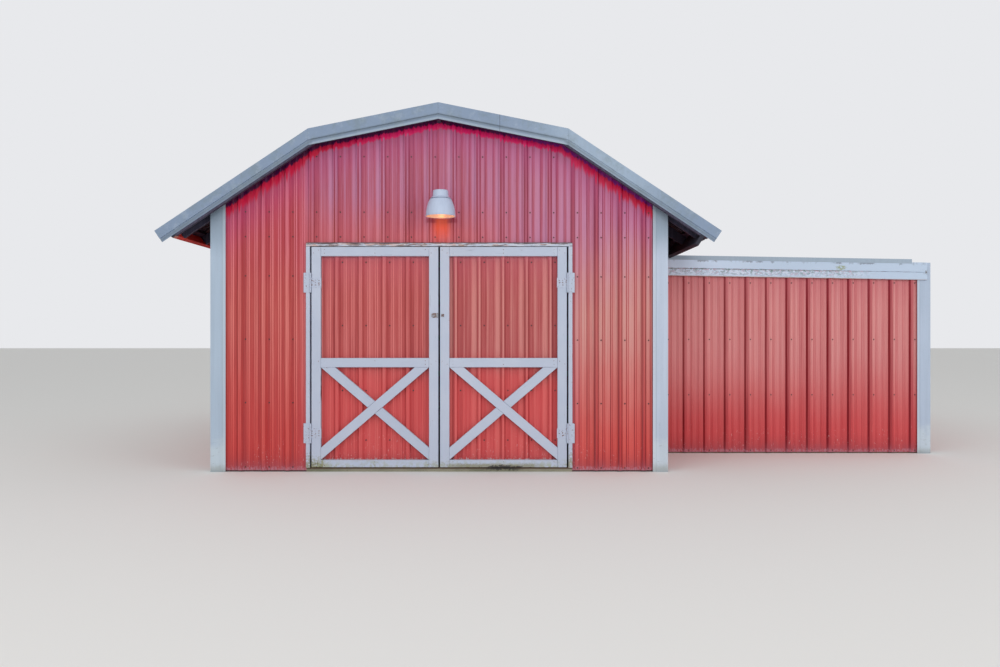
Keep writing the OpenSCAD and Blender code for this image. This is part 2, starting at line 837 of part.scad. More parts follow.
module lean_to_back_siding() {
    rib_x = centred_rib(lean_x0, lean_x1);
    color(siding_red) intersection() {
        mirror([0, 1, 0])
            front_sheet(lean_x0, lean_x1, -back_y, siding_lift, lean_roof_h, rib_x);
        under_lean_roof(lean_siding_drop, back_y, back_y + skin);
    }
}

module lean_to_corner_trims() {
    top = lean_z(lean_trim_x) - lean_siding_drop / 2;
    color(trim_grey) {
        corner_trim(lean_trim_x, lean_front - skin, lean_z(lean_trim_x) + cladding, top);
        mirror([0, 1, 0]) corner_trim(lean_trim_x, -back_y - skin, top, top);
    }
}

// A bar along the lean-to's front; top and foot are measured from the roof line and fall with it
module along_fall(y0, y1, x1, top, foot) {
    along_y(y0, y1, [
        [lean_x0, lean_z(lean_x0) + top], [x1, lean_z(x1) + top],
        [x1, lean_z(x1) + foot], [lean_x0, lean_z(lean_x0) + foot]]);
}

module lean_to_fascia_boards() {
    x1 = lean_trim_x - fascia_end_gap;
    split = cladding - fascia_upper_h;
    color(board_white) {
        along_fall(fascia_y, fascia_back, x1, cladding, split);
        along_fall(fascia_y, fascia_back, x1, split - board_joint, split - fascia_lower_h);
    }
}

// Metal strip that stands up from the fascia, folded back and down to a flange on the roof's ribs
module lean_to_roof_edge() {
    x1 = lean_trim_x - edge_strip_gap;
    foot = cladding - strip_lap;
    color(trim_grey) {
        along_fall(fascia_y - sheet_t, fascia_y, x1, foot + edge_strip_h, foot);
        along_fall(fascia_y, fascia_y + sheet_t, x1, foot + edge_strip_h, cap_under);
        along_fall(fascia_y, fascia_y + rake_flange, x1, cap_top, cap_under);
    }
}

// Doors and hinges, drawn for the right leaf and mirrored for the left

// Plate on the jamb, with a knuckle above and below the strap's and the pin through all three
module hinge_plate(z_mid) {
    half = hinge_plate_h / 2;
    plate_x = pin_x + barrel_r + knuckle_gap;
    knuckle = half - hinge_strap_h / 2 - knuckle_gap;
    bar([plate_x, face_y - hinge_t, z_mid - half], [pin_x + hinge_plate_w, face_y, z_mid + half]);
    for (z = [z_mid - half, z_mid + half - knuckle]) {
        bar([pin_x + barrel_r / 2, face_y - hinge_t, z], [plate_x, face_y, z + knuckle]);
        translate([pin_x, pin_y, z]) cylinder(h = knuckle, r = barrel_r, $fn = 32);
    }
    translate([pin_x, pin_y, z_mid - half]) cylinder(h = hinge_plate_h, r = pin_r, $fn = 32);
}

module hinge_strap(z_mid) {
    half = hinge_strap_h / 2;
    difference() {
        union() {
            bar([pin_x - hinge_strap_w, face_y - hinge_t, z_mid - half],
                [pin_x - barrel_r / 2, face_y, z_mid + half]);
            translate([pin_x, pin_y, z_mid - half]) cylinder(h = hinge_strap_h, r = barrel_r, $fn = 32);
        }
        translate([pin_x, pin_y, z_mid - half - cut_over])
            cylinder(h = hinge_strap_h + 2 * cut_over, r = pin_r + pin_clear, $fn = 32);
    }
}

module hinge_plates() {
    color(board_white) pair() for (z = [hinge_low_h, hinge_high_h]) hinge_plate(z);
}

module leaf_straps() {
    color(board_white) for (z = [hinge_low_h, hinge_high_h]) hinge_strap(z);
}

module leaf_sheet(rib_x) {
    color(door_red)
        front_sheet(leaf_in + door_sheet_margin, leaf_out - door_sheet_margin, sheet_back_y,
            leaf_foot + door_sheet_margin, leaf_top - door_sheet_margin, rib_x);
}

// Board on the face of a leaf, from its outline in the XZ plane
module leaf_board(outline) {
    along_y(face_y, sheet_rib_y, outline);
}

function box_outline(x0, x1, z0, z1) = [[x0, z0], [x1, z0], [x1, z1], [x0, z1]];

module leaf_boards() {
    x0 = leaf_in + board_w + board_joint;
    x1 = leaf_out - board_w - board_joint;
    panel_foot = leaf_foot + bottom_rail_h;
    mid_low = mid_rail_h - board_w / 2;
    z0 = panel_foot + board_joint;
    z1 = mid_low - board_joint;
    slope = atan((z1 - z0) / (x1 - x0));
    rise = board_w / cos(slope);
    run = board_w / sin(slope);
    crossing = 2 * board_joint;
    color(board_white) {
        // Stiles
        leaf_board(box_outline(leaf_in, leaf_in + board_w, leaf_foot, leaf_top));
        leaf_board(box_outline(leaf_out - board_w, leaf_out, leaf_foot, leaf_top));
        // Rails
        leaf_board(box_outline(x0, x1, leaf_foot, panel_foot));
        leaf_board(box_outline(x0, x1, mid_low, mid_low + board_w));
        leaf_board(box_outline(x0, x1, leaf_top - board_w, leaf_top));
        // The long brace, from the foot of the hinge stile to the head of the free one
        leaf_board([[x1, z0], [x1, z0 + rise], [x0 + run, z1], [x0, z1]]);
        // The other brace, cut in two where the long one crosses it
        difference() {
            leaf_board([[x0, z0], [x1, z1], [x1 - run, z1], [x0, z0 + rise]]);
            along_y(face_y - cut_over, sheet_rib_y + cut_over, [
                [x1, z0 - crossing], [x1, z0 + rise + crossing],
                [x0 + run, z1 + crossing], [x0, z1 - crossing]]);
        }
    }
}

// Hasp, folded back over its own plate
module hasp() {
    plate_in = 3;
    plate_w = 53;
    plate_h = 46;
    plate_t = 3;
    strap_in = 10;
    strap_w = 54;
    strap_h = 30;
    plate_x = leaf_in + plate_in;
    strap_x = leaf_in + strap_in;
    color(trim_grey) {
        bar([plate_x, face_y - plate_t, latch_h - plate_h / 2],
            [plate_x + plate_w, face_y, latch_h + plate_h / 2]);
        bar([strap_x, face_y - 2 * plate_t, latch_h - strap_h / 2],
            [strap_x + strap_w, face_y - plate_t, latch_h + strap_h / 2]);
    }
}

// Staple of bent wire on a small plate
module staple() {
    wire_d = 7;
    reach = 22;
    half_h = 9.5;
    base_w = 26;
    base_t = 2;
    x_mid = leaf_in + 26;
    color(trim_grey) {
        bar([x_mid - base_w / 2, face_y - base_t, latch_h - base_w / 2],
            [x_mid + base_w / 2, face_y, latch_h + base_w / 2]);
        for (z = [latch_h - half_h, latch_h + half_h])
            translate([x_mid, face_y, z]) rotate([90, 0, 0]) cylinder(h = reach, d = wire_d, $fn = 20);
        translate([x_mid, face_y - reach + wire_d / 2, latch_h - half_h])
            cylinder(h = 2 * half_h, d = wire_d, $fn = 20);
    }
}

module on_the_left() {
    mirror([1, 0, 0]) children();
}

module right_door_sheet() {
    leaf_sheet(door_rib_x);
}

module right_door_boards() {
    leaf_boards();
}

module right_door_straps() {
    leaf_straps();
}

module right_door_staple() {
    staple();
}

module left_door_sheet() {
    on_the_left() leaf_sheet(-door_rib_x);
}

module left_door_boards() {
    on_the_left() leaf_boards();
}

module left_door_straps() {
    on_the_left() leaf_straps();
}

module left_door_hasp() {
    on_the_left() hasp();
}

floor_slab();
wall_posts();
wall_girts();
top_plates();
door_jambs();
door_head();
front_siding_left();
front_siding_right();
front_siding_top();
back_siding();
left_siding();
right_siding();
corner_trims();
lower_rafters();
upper_rafters();
ridge_board();
roof_purlins();
lower_roof_sheets();
upper_roof_sheets();
ridge_cap();
knee_flashings();
rake_trims();
eave_boards();
light_housing();
light_shade();
light_bulb();
lean_to_posts();
lean_to_girts();
lean_to_joists();
lean_to_roof();
lean_to_front_siding();
lean_to_side_siding();
lean_to_back_siding();
lean_to_corner_trims();
lean_to_fascia_boards();
lean_to_roof_edge();
hinge_plates();
left_door_sheet();
left_door_boards();
left_door_straps();
left_door_hasp();
right_door_sheet();
right_door_boards();
right_door_straps();
right_door_staple();
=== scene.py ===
"""Finishes and small fittings for a red sheet-metal barn with painted plank doors and a lean-to.

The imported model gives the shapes. This script paints them, builds the weathered boards again
with their worn edges, and adds the screws and nails. Lengths are in metres: +X is right seen
from the front, +Y goes into the barn and +Z is up.
"""

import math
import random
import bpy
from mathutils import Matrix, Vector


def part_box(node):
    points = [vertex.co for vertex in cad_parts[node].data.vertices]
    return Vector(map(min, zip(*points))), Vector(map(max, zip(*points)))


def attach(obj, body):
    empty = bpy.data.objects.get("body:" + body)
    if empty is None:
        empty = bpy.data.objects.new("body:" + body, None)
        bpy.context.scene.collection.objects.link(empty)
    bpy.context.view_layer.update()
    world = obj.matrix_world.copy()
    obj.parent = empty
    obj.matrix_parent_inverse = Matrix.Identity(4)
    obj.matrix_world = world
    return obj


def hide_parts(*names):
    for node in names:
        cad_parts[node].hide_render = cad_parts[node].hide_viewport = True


bl_info = {
    "name": "Red Barn Finishes",
    "version": (1, 0, 0),
    "blender": (4, 5, 0),
    "location": "View3D > Sidebar > Barn",
    "description": "Paints and fits out a small gambrel barn",
    "category": "Object",
}

import bmesh
import bpy
from mathutils import Vector
from mathutils.bvhtree import BVHTree

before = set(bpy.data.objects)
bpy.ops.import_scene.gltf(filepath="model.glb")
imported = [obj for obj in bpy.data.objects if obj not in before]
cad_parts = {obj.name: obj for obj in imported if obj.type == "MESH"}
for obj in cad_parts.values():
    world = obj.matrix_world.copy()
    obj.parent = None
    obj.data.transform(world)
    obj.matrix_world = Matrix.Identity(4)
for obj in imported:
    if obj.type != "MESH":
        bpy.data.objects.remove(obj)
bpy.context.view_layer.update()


def rgb(red, green, blue):
    """A colour written as 0 to 255 on screen, as Blender's linear values."""
    parts = [value / 255 for value in (red, green, blue)]
    return tuple(v / 12.92 if v <= 0.04045 else ((v + 0.055) / 1.055) ** 2.4 for v in parts)


# Sizes and colours that a user would change


def length(name, default, description):
    return bpy.props.FloatProperty(
        name=name, description=description, default=default, unit="LENGTH", precision=4)


def power(name, default, description):
    return bpy.props.FloatProperty(name=name, description=description, default=default, unit="POWER")


def colour(name, default, description):
    return bpy.props.FloatVectorProperty(
        name=name, description=description, default=rgb(*default), subtype="COLOR",
        size=3, min=0.0, max=1.0)


class SidingSettings(bpy.types.PropertyGroup):
    """Ribbed sheet: its ribs and its reds"""

    pitch: length("Rib pitch", 0.2286, "Distance between tall ribs")
    front_phase: length("Front rib", -0.091, "Place of a tall rib of the barn's front")
    lean_phase: length("Lean-to rib", 2.4185, "Place of a tall rib of the lean-to's front")
    door_phase: length("Door rib", -0.076, "Place of a tall rib of the door sheets")
    red: colour("Red", (181, 72, 70), "Paint where it has kept its colour")
    # Pale tone of the lit rib facets, a painted highlight; also the colour of chalky streaks
    chalk_and_highlight: colour("Chalky red", (220, 126, 120), "Chalked paint where the light catches it")
    # Painted shade in the creases beside the ribs; also the colour of dark specks
    crease: colour("Crease", (136, 40, 46), "Paint and dirt in the creases beside ribs")
    low_red: colour("Low red", (186, 56, 56), "Deep red towards the foot")
    # Painted highlight on the lit ribs low on the walls
    low_pale: colour("Low highlight", (208, 84, 79), "Lighter ribs towards the foot")
    # Paler set of the barn's right side, a painted reflection of the sky; on the side walls it is mixed in
    # at random as faded paint
    faded_sheen: colour("Faded red", (204, 146, 141), "Paint that the sun has bleached")
    faded_sheen_rib: colour("Faded rib", (190, 100, 98), "Tops of the ribs where the sheet has bleached")
    faded_sheen_crease: colour("Faded crease", (152, 70, 70), "Creases where the sheet has bleached")
    # Cooler gable reds: a painted reflection of the sky, with painted highlights and painted shade in the
    # creases
    gable: colour("Gable red", (168, 76, 98), "Cooler red high on the gable")
    gable_pale: colour("Gable highlight", (187, 124, 156), "Pale, cool paint of the gable")
    gable_crease: colour("Gable crease", (134, 48, 74), "Creases of the gable")
    shaded: colour("Shaded red", (178, 60, 74), "Red high on the left, in the roof's shade")
    # Deep red under the roof's edge: paint kept from fading there, and painted shade of the overhang
    sheltered_and_shaded: colour("Sheltered red", (204, 0, 62), "Paint that the roof has kept from fading")
    lean_red: colour("Lean-to red", (194, 105, 108), "Paint on the lean-to")
    # Painted highlight on the lean-to's lit ribs
    lean_pale: colour("Lean-to highlight", (214, 143, 142), "Bleached paint on the lean-to")
    # Painted shade in the creases of the lean-to's ribs
    lean_crease: colour("Lean-to crease", (134, 26, 38), "Creases of the lean-to's ribs")
    dust: colour("Foot dust", (160, 84, 96), "Dust and splashes on the foot of the sheets")


class BoardSettings(bpy.types.PropertyGroup):
    """Painted boards of the doors and the lean-to"""

    width: length("Board width", 0.089, "Width of the door boards")
    joint: length("Joint", 0.0008, "Open joint between boards")
    bottom_rail: length("Bottom rail", 0.070, "Height of the bottom rail")
    mid_rail: length("Mid rail", 1.051, "Height of the middle of the mid rail")
    bevel: length("Edge bevel", 0.0022, "Rounding of a board's edges")
    paint: colour("Board paint", (186, 196, 216), "Pale paint on the boards")
    bare: colour("Bare wood", (150, 124, 100), "Wood where the paint has gone")
    grime: colour("Grime", (112, 104, 90), "Dirt in cracks and joints")
    damp: colour("Damp stain", (146, 150, 92), "Green stain on the damp foot of a board")


class MetalSettings(bpy.types.PropertyGroup):
    """Trims, roof sheets and fasteners"""

    trim: colour("Trim grey", (186, 198, 217), "Paint on the right corner trim")
    trim_left: colour("Left trim grey", (171, 189, 208), "Paint on the left corner trim")
    trim_lean: colour("Lean-to trim grey", (177, 192, 213), "Paint on the lean-to's corner trims")
    rake: colour("Rake grey", (124, 143, 169), "Paint on the roof's edge trims")
    strip: colour("Strip grey", (148, 165, 182), "Paint on the lean-to's edge strip")
    roof: colour("Roof grey", (172, 178, 184), "Roof sheets")
    rust: colour("Rust", (122, 74, 52), "Rust on screws and edges")
    screw: colour("Screw", (66, 26, 38), "Heads of the siding screws")
    head_width: length("Head width", 0.0085, "Width of a screw's hexagon head")
    head_height: length("Head height", 0.0055, "Height of a screw's hexagon head")
    washer_width: length("Washer width", 0.015, "Width of a screw's washer")
    screw_offset: length("Screw offset", 0.051, "Distance from a tall rib to its screw")


class LampSettings(bpy.types.PropertyGroup):
    """Light over the doors"""

    enamel: colour("Enamel", (182, 194, 218), "Enamel on the shade and housing")
    bulb: colour("Bulb", (255, 206, 160), "Light inside the shade")
    glow: colour("Glow", (255, 156, 92), "Light that falls on the wall")
    power: power("Power", 0.235, "Strength of the light on the wall")
    inner_power: power("Inner power", 0.36, "Strength of the light in the shade")


class StageSettings(bpy.types.PropertyGroup):
    """Camera, floor and soft light"""

    camera_place: bpy.props.FloatVectorProperty(
        name="Camera", description="Place of the camera", default=(0.592, -10.978, 1.339),
        subtype="TRANSLATION", unit="LENGTH")
    lens: bpy.props.FloatProperty(
        name="Lens", description="Focal length", default=29.6, unit="CAMERA")
    shift: bpy.props.FloatVectorProperty(
        name="Shift", description="Shift of the view to the right and up, as a share of its width",
        default=(-0.00075, -0.0008), size=2, precision=5)
    backdrop: colour("Backdrop", (232, 233, 236), "Colour behind the barn")
    floor: colour("Floor", (234, 234, 232), "Colour of the floor")


GROUPS = {
    "barn_siding": SidingSettings,
    "barn_boards": BoardSettings,
    "barn_metal": MetalSettings,
    "barn_lamp": LampSettings,
    "barn_stage": StageSettings,
}

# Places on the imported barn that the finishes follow

ROOF_KNEE = (1.222, 3.248)
UPPER_SLOPE = math.radians(11.4)
LOWER_SLOPE = math.radians(33.7)
RAKE_LAP = 0.583
TRIM_HEMS = ((-2.0865, -2.055), (2.055, 2.0865), (5.205, 5.244))
LAMP_X = 0.022
FRONT_Y = -3.05
LEAN_TO_FALL = math.radians(0.95)
FASCIA_START = (2.2025, 2.1681)
FASCIA_BOARDS = ((0.0, 0.108), (0.1088, 0.193))

FRONT, BACK, LEFT, RIGHT = (0, -1, 0), (0, 1, 0), (-1, 0, 0), (1, 0, 0)


def span(node):
    """Lowest and highest corner of a CAD node as two plain lists."""
    low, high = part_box(node)
    return list(low), list(high)


def add_object(name, data):
    made = bpy.data.objects.new(name, data)
    bpy.context.scene.collection.objects.link(made)
    return made


def aim(thing, target):
    """Turns a lamp so that it shines at target."""
    way = Vector(target) - thing.location
    thing.rotation_euler = way.to_track_quat("-Z", "Y").to_euler()


# Node trees written as formulas


def worked(operation, swapped=False):
    """An operator of Term, which adds one maths node."""

    def method(term, other):
        values = (other, term) if swapped else (term, other)
        return term.maker.math(operation, *values)

    return method


class Term:
    """A socket that stands in a formula and adds the nodes that the formula needs."""

    def __init__(self, maker, socket):
        self.maker = maker
        self.socket = socket

    __add__ = __radd__ = worked("ADD")
    __sub__ = worked("SUBTRACT")
    __rsub__ = worked("SUBTRACT", swapped=True)
    __mul__ = __rmul__ = worked("MULTIPLY")
    __truediv__ = worked("DIVIDE")
    __rtruediv__ = worked("DIVIDE", swapped=True)

    def __abs__(self):
        return self.maker.math("ABSOLUTE", self)

    def fade(self, start, end):
        """0 below start, 1 above end and smooth between; start may be the larger."""
        node = self.maker.node("ShaderNodeMapRange", {0: self, 1: start, 2: end},
                               interpolation_type="SMOOTHSTEP")
        return self.maker.out(node)

    def band(self, start, end, soft=0.002):
        """1 between start and end, with soft edges."""
        return self.fade(start - soft, start + soft) * self.fade(end + soft, end - soft)


class Maker:
    """Adds nodes to one node tree and joins them up."""

    def __init__(self, tree):
        self.tree = tree

    def feed(self, socket, value):
        if isinstance(value, Term):
            self.tree.links.new(value.socket, socket)
        else:
            socket.default_value = (*value, 1.0) if socket.type == "RGBA" else value

    def node(self, kind, inputs=None, **settings):
        node = self.tree.nodes.new(kind)
        for key, value in settings.items():
            setattr(node, key, value)
        for key, value in (inputs or {}).items():
            self.feed(node.inputs[key], value)
        return node

    def out(self, node, key=0):
        return Term(self, node.outputs[key])

    def math(self, operation, *values):
        return self.out(self.node("ShaderNodeMath", dict(enumerate(values)), operation=operation))

    def most(self, *values):
        return self.math("MAXIMUM", *values)

    def mix(self, share, first, second):
        node = self.node("ShaderNodeMix", {0: share, 6: first, 7: second}, data_type="RGBA")
        return self.out(node, 2)

    def coats(self, base, *layers):
        """Lays colours over base, each by its own share, the lowest first."""
        for share, tint in layers:
            base = self.mix(share, base, tint)
        return base

    def shades(self, share, first, second):
        """Three colours, from dark to pale, part of the way from one set to another."""
        return [self.mix(share, a, b) for a, b in zip(first, second)]

    def ramp(self, tone, dark, middle, pale):
        """A colour from dark at tone 0 through middle at 0.5 to pale at 1."""
        return self.mix(tone * 2.0 - 1.0, self.mix(tone * 2.0, dark, middle), pale)

    def split(self, vector):
        node = self.node("ShaderNodeSeparateXYZ", {0: vector})
        return [self.out(node, key) for key in "XYZ"]

    def join(self, x, y, z):
        return self.out(self.node("ShaderNodeCombineXYZ", {0: x, 1: y, 2: z}))

    def noise(self, vector, scale, stretch=(1, 1, 1), detail=3.0, roughness=0.55):
        placed = self.out(self.node("ShaderNodeMapping", {"Vector": vector, "Scale": stretch}))
        node = self.node("ShaderNodeTexNoise", {
            "Vector": placed, "Scale": scale, "Detail": detail, "Roughness": roughness})
        return self.out(node)

    def use(self, name, **inputs):
        """Places a shared node group, built when it is first needed; returns its outputs."""
        node = self.tree.nodes.new("ShaderNodeGroup")
        node.node_tree = bpy.data.node_groups.get(name) or effect(name, *EFFECTS[name])
        for key, value in inputs.items():
            self.feed(node.inputs[key], value)
        return [Term(self, socket) for socket in node.outputs]


def effect(name, build, inputs, outputs):
    """A shader node group. inputs maps names to defaults, and None stands for a place."""
    group = bpy.data.node_groups.new(name, "ShaderNodeTree")
    for key, default in inputs.items():
        kind = "NodeSocketVector" if default is None else "NodeSocketFloat"
        socket = group.interface.new_socket(name=key, in_out="INPUT", socket_type=kind)
        if default is not None:
            socket.default_value = default
    for key in outputs:
        group.interface.new_socket(name=key, in_out="OUTPUT", socket_type="NodeSocketFloat")
    m = Maker(group)
    source = group.nodes.new("NodeGroupInput")
    terms = build(m, {key: m.out(source, key) for key in inputs})
    target = group.nodes.new("NodeGroupOutput")
    for key, term in zip(outputs, terms):
        m.feed(target.inputs[key], term)
    return group


# Where the facets of a tall rib and of the low ribs lie, from the middle of the rib
FACETS = {
    "Left Edge": (-0.020, -0.003), "Top": (-0.003, 0.016), "Right Edge": (0.016, 0.026),
    "Left Flat": (-0.064, -0.020), "Right Flat": (0.026, 0.064)}
LOW_FACETS = {"Low Left": (-0.0145, -0.0055), "Low Top": (-0.0055, 0.0055), "Low Right": (0.0055, 0.0145)}
TONES = (*FACETS, *LOW_FACETS, "Middle")


def rib_tone(m, given):
    """How dark or pale a ribbed sheet is painted: painted highlights on its ribs' lit facets, painted shade
    on the rest.
    """
    pitch, middle = given["Pitch"], given["Middle"]
    turn = (given["Along"] - given["Phase"]) / pitch
    across = (m.math("FRACT", turn + 0.5) - 0.5) * pitch
    third = turn * 3.0 + 0.5
    low = (m.math("FRACT", third) - 0.5) * pitch / 3.0
    away = abs(across).fade(0.034, 0.042)
    masks = {key: across.band(*edges) for key, edges in FACETS.items()}
    masks.update({key: low.band(*edges) * away for key, edges in LOW_FACETS.items()})
    tone = middle
    for key, mask in masks.items():
        tone = tone + mask * (given[key] - middle)
    chance = m.node("ShaderNodeTexWhiteNoise", {"W": m.math("FLOOR", third)}, noise_dimensions="1D")
    return [tone + (m.out(chance, "Value") - 0.5) * given["Uneven"]]


def weathering(m, given):
    """Slow blotches, fine upright streaks and small specks, for any outdoor surface."""
    place, size = given["Place"], given["Size"]
    blotch = m.noise(place, 2.4 / size, (1, 1, 0.55), 4.0, 0.6)
    streak = m.noise(place, 34.0 / size, (1, 1, 0.035), 3.0, 0.6)
    speck = m.noise(place, 95.0 / size, (1, 1, 1), 2.0, 0.6)
    return blotch.fade(0.36, 0.66), streak.fade(0.40, 0.66), speck.fade(0.64, 0.74)


def foot_splash(m, given):
    """Dust and splashes that thin out with height above the foot."""
    ragged = m.noise(given["Place"], 9.0, (1, 1, 0.5), 4.0, 0.65)
    level = m.split(given["Place"])[2] / given["Reach"] + (ragged - 0.5) * 1.3
    return [level.fade(1.0, 0.05)]


def painted_grain(m, given):
    """Wood grain, long cracks and flaked paint, along the first axis of Grain."""
    grain, wear = given["Grain"], given["Wear"]
    figure = m.noise(grain, 120.0, (0.05, 1, 1), 3.0, 0.6)
    crack = m.noise(grain, 46.0, (0.055, 1, 1), 4.0, 0.65).fade(0.66, 0.72)
    level = m.noise(grain, 26.0, (0.30, 1, 1), 5.0, 0.7) + wear * 0.42
    return figure, crack * wear.fade(0.0, 0.35), level.fade(0.745, 0.775)


EFFECTS = {
    "Rib Tone": (rib_tone, {
        "Along": 0.0, "Pitch": 0.2286, "Phase": 0.0, "Uneven": 0.22, **dict.fromkeys(TONES, 0.5)},
        ("Tone",)),
    "Weathering": (weathering, {"Place": None, "Size": 1.0}, ("Blotch", "Streak", "Speck")),
    "Foot Splash": (foot_splash, {"Place": None, "Reach": 0.2}, ("Splash",)),
    "Painted Grain": (painted_grain, {"Grain": None, "Wear": 0.3}, ("Figure", "Crack", "Flake")),
}


class Coat(Maker):
    """A material in the making, with the places and the wear that most finishes read.

    No piece is moved, so object coordinates are the barn's own metres.
    """

    def __init__(self, name, size=None):
        self.material = bpy.data.materials.new(name)
        self.material.use_nodes = True
        super().__init__(self.material.node_tree)
        self.tree.nodes.clear()
        self.place = self.out(self.node("ShaderNodeTexCoord"), "Object")
        self.x, self.y, self.z = self.split(self.place)
        if size:
            self.blotch, self.streak, self.speck = self.use("Weathering", Place=self.place, Size=size)

    def mottle(self, scale, stretch=(1, 1, 1), detail=3.0, roughness=0.55):
        """Noise over the piece itself."""
        return self.noise(self.place, scale, stretch, detail, roughness)

    def splash(self, reach):
        return self.use("Foot Splash", Place=self.place, Reach=reach)[0]

    def normal(self):
        return self.split(self.out(self.node("ShaderNodeNewGeometry"), "Normal"))

    def finish(self, base, roughness, height=None, bump=0.2, reach=0.002, **others):
        """Adds the Principled shader and gives back the finished material."""
        inputs = {"Base Color": base, "Roughness": roughness}
        inputs.update({key.replace("_", " "): value for key, value in others.items()})
        shader = self.node("ShaderNodeBsdfPrincipled", inputs)
        if height is not None:
            relief = self.node("ShaderNodeBump", {"Strength": bump, "Distance": reach, "Height": height})
            self.feed(shader.inputs["Normal"], self.out(relief))
        self.node("ShaderNodeOutputMaterial", {"Surface": self.out(shader)})
        return self.material


def dress(nodes, made):
    """Gives CAD nodes a material and leaves their meshes alone."""
    for name in nodes:
        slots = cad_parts[name].data.materials
        slots.clear()
        slots.append(made)


# Ribbed sheets


def facets(*tones):
    """Painted tones of the rib facets in the order of TONES, from 0 for crease shade to 1 for the palest
    highlight.
    """
    return dict(zip(TONES, tones))


# Painted light and shade for each wall's rib facets: high tones paint highlights, low tones paint shade
LEFT_WALL = facets(0.82, 0.74, 0.50, 0.48, 0.44, 1.12, 0.50, 1.12, 0.56)
RIGHT_WALL = facets(0.05, 0.50, 0.05, 0.92, 0.98, 0.20, 0.82, 0.42, 0.98)
GABLE_LEFT = facets(0.16, 0.96, 0.34, 0.97, 0.46, 0.50, 0.62, 0.92, 0.58)
GABLE_RIGHT = facets(0.02, 0.56, 0.16, 0.98, 0.96, 0.16, 0.56, 0.60, 0.98)
LEAN_TO = facets(0.0, 0.34, 0.44, 0.78, 1.0, 0.46, 0.78, 0.66, 0.86)
GABLE_SHIFT = 0.009
LEAN_TO_SHIFT = -0.013


def roof_depth(c):
    """How far a point of the gable lies below the roof line, square to the slope."""
    aside = abs(c.x) - ROOF_KNEE[0]
    depths = [
        (ROOF_KNEE[1] - aside * math.tan(slope) - c.z) * math.cos(slope)
        for slope in (UPPER_SLOPE, LOWER_SLOPE)]
    return c.math("MINIMUM", *depths)


class Sheet(Coat):
    """The paint of a ribbed sheet, with what its look needs to know of its ribs to paint their light and
    shade.
    """

    def __init__(self, name, axis, rib, settings):
        super().__init__(name, 1.0)
        self.settings = settings
        self.rib = rib
        self.along = (self.x, self.y)[axis]
        self.waver = self.blotch - 0.5
        self.lines = self.mottle(130.0, (1, 1, 0.012), 2.0, 0.6)

    # Painted rib light and shade from a facet table, with fine random streaks
    def tone(self, tones, shift=0.0):
        [plain] = self.use("Rib Tone", Along=self.along, Pitch=self.settings.pitch,
                           Phase=self.rib + shift, **tones)
        return plain + (self.lines - 0.5) * 0.75


def ribbed_paint(name, axis, rib, look, settings):
    """Red paint and painted rib light and shade on sheets whose ribs are spaced along axis, with one at rib.
    """
    c = Sheet(name, axis, rib, settings)
    z = c.z
    flecks = c.mottle(84.0, (1, 1, 0.35), 4.0, 0.7).fade(0.63, 0.67)
    patchy = c.mottle(7.0, (1, 1, 0.5), 2.0).fade(0.40, 0.58)
    line = (c.mottle(60.0, (1, 1, 0.6), 4.0, 0.7) - z * 3.0).fade(0.34, 0.44)
    dust = c.splash(0.13)
    base = c.coats(
        look(c),
        (c.streak * 0.07, settings.chalk_and_highlight),
        (c.speck * 0.12, settings.crease),
        (z.fade(0.26, 0.03) * 0.34, rgb(138, 52, 64)),
        (flecks * patchy * z.fade(0.42, 0.10) * 0.75, rgb(226, 198, 200)),
        (line * z.fade(0.07, 0.03) * 0.55, rgb(196, 160, 178)),
        (dust * 0.50, settings.dust))
    roughness = 0.44 + c.blotch * 0.12 + dust * 0.25
    return c.finish(base, roughness, c.blotch * 0.6 + c.speck * 0.1, bump=0.15, Specular_IOR_Level=0.25)


def wall_shades(c, mid):
    """The left and the right wall's colours, deeper towards the foot and paler above in a painted sky
    reflection.
    """
    s = c.settings
    low = (s.crease, s.low_red, s.low_pale)
    return (c.shades(mid, low, (s.crease, s.red, s.chalk_and_highlight)),
            c.shades(mid, low, (s.faded_sheen_crease, s.faded_sheen_rib, s.faded_sheen)))


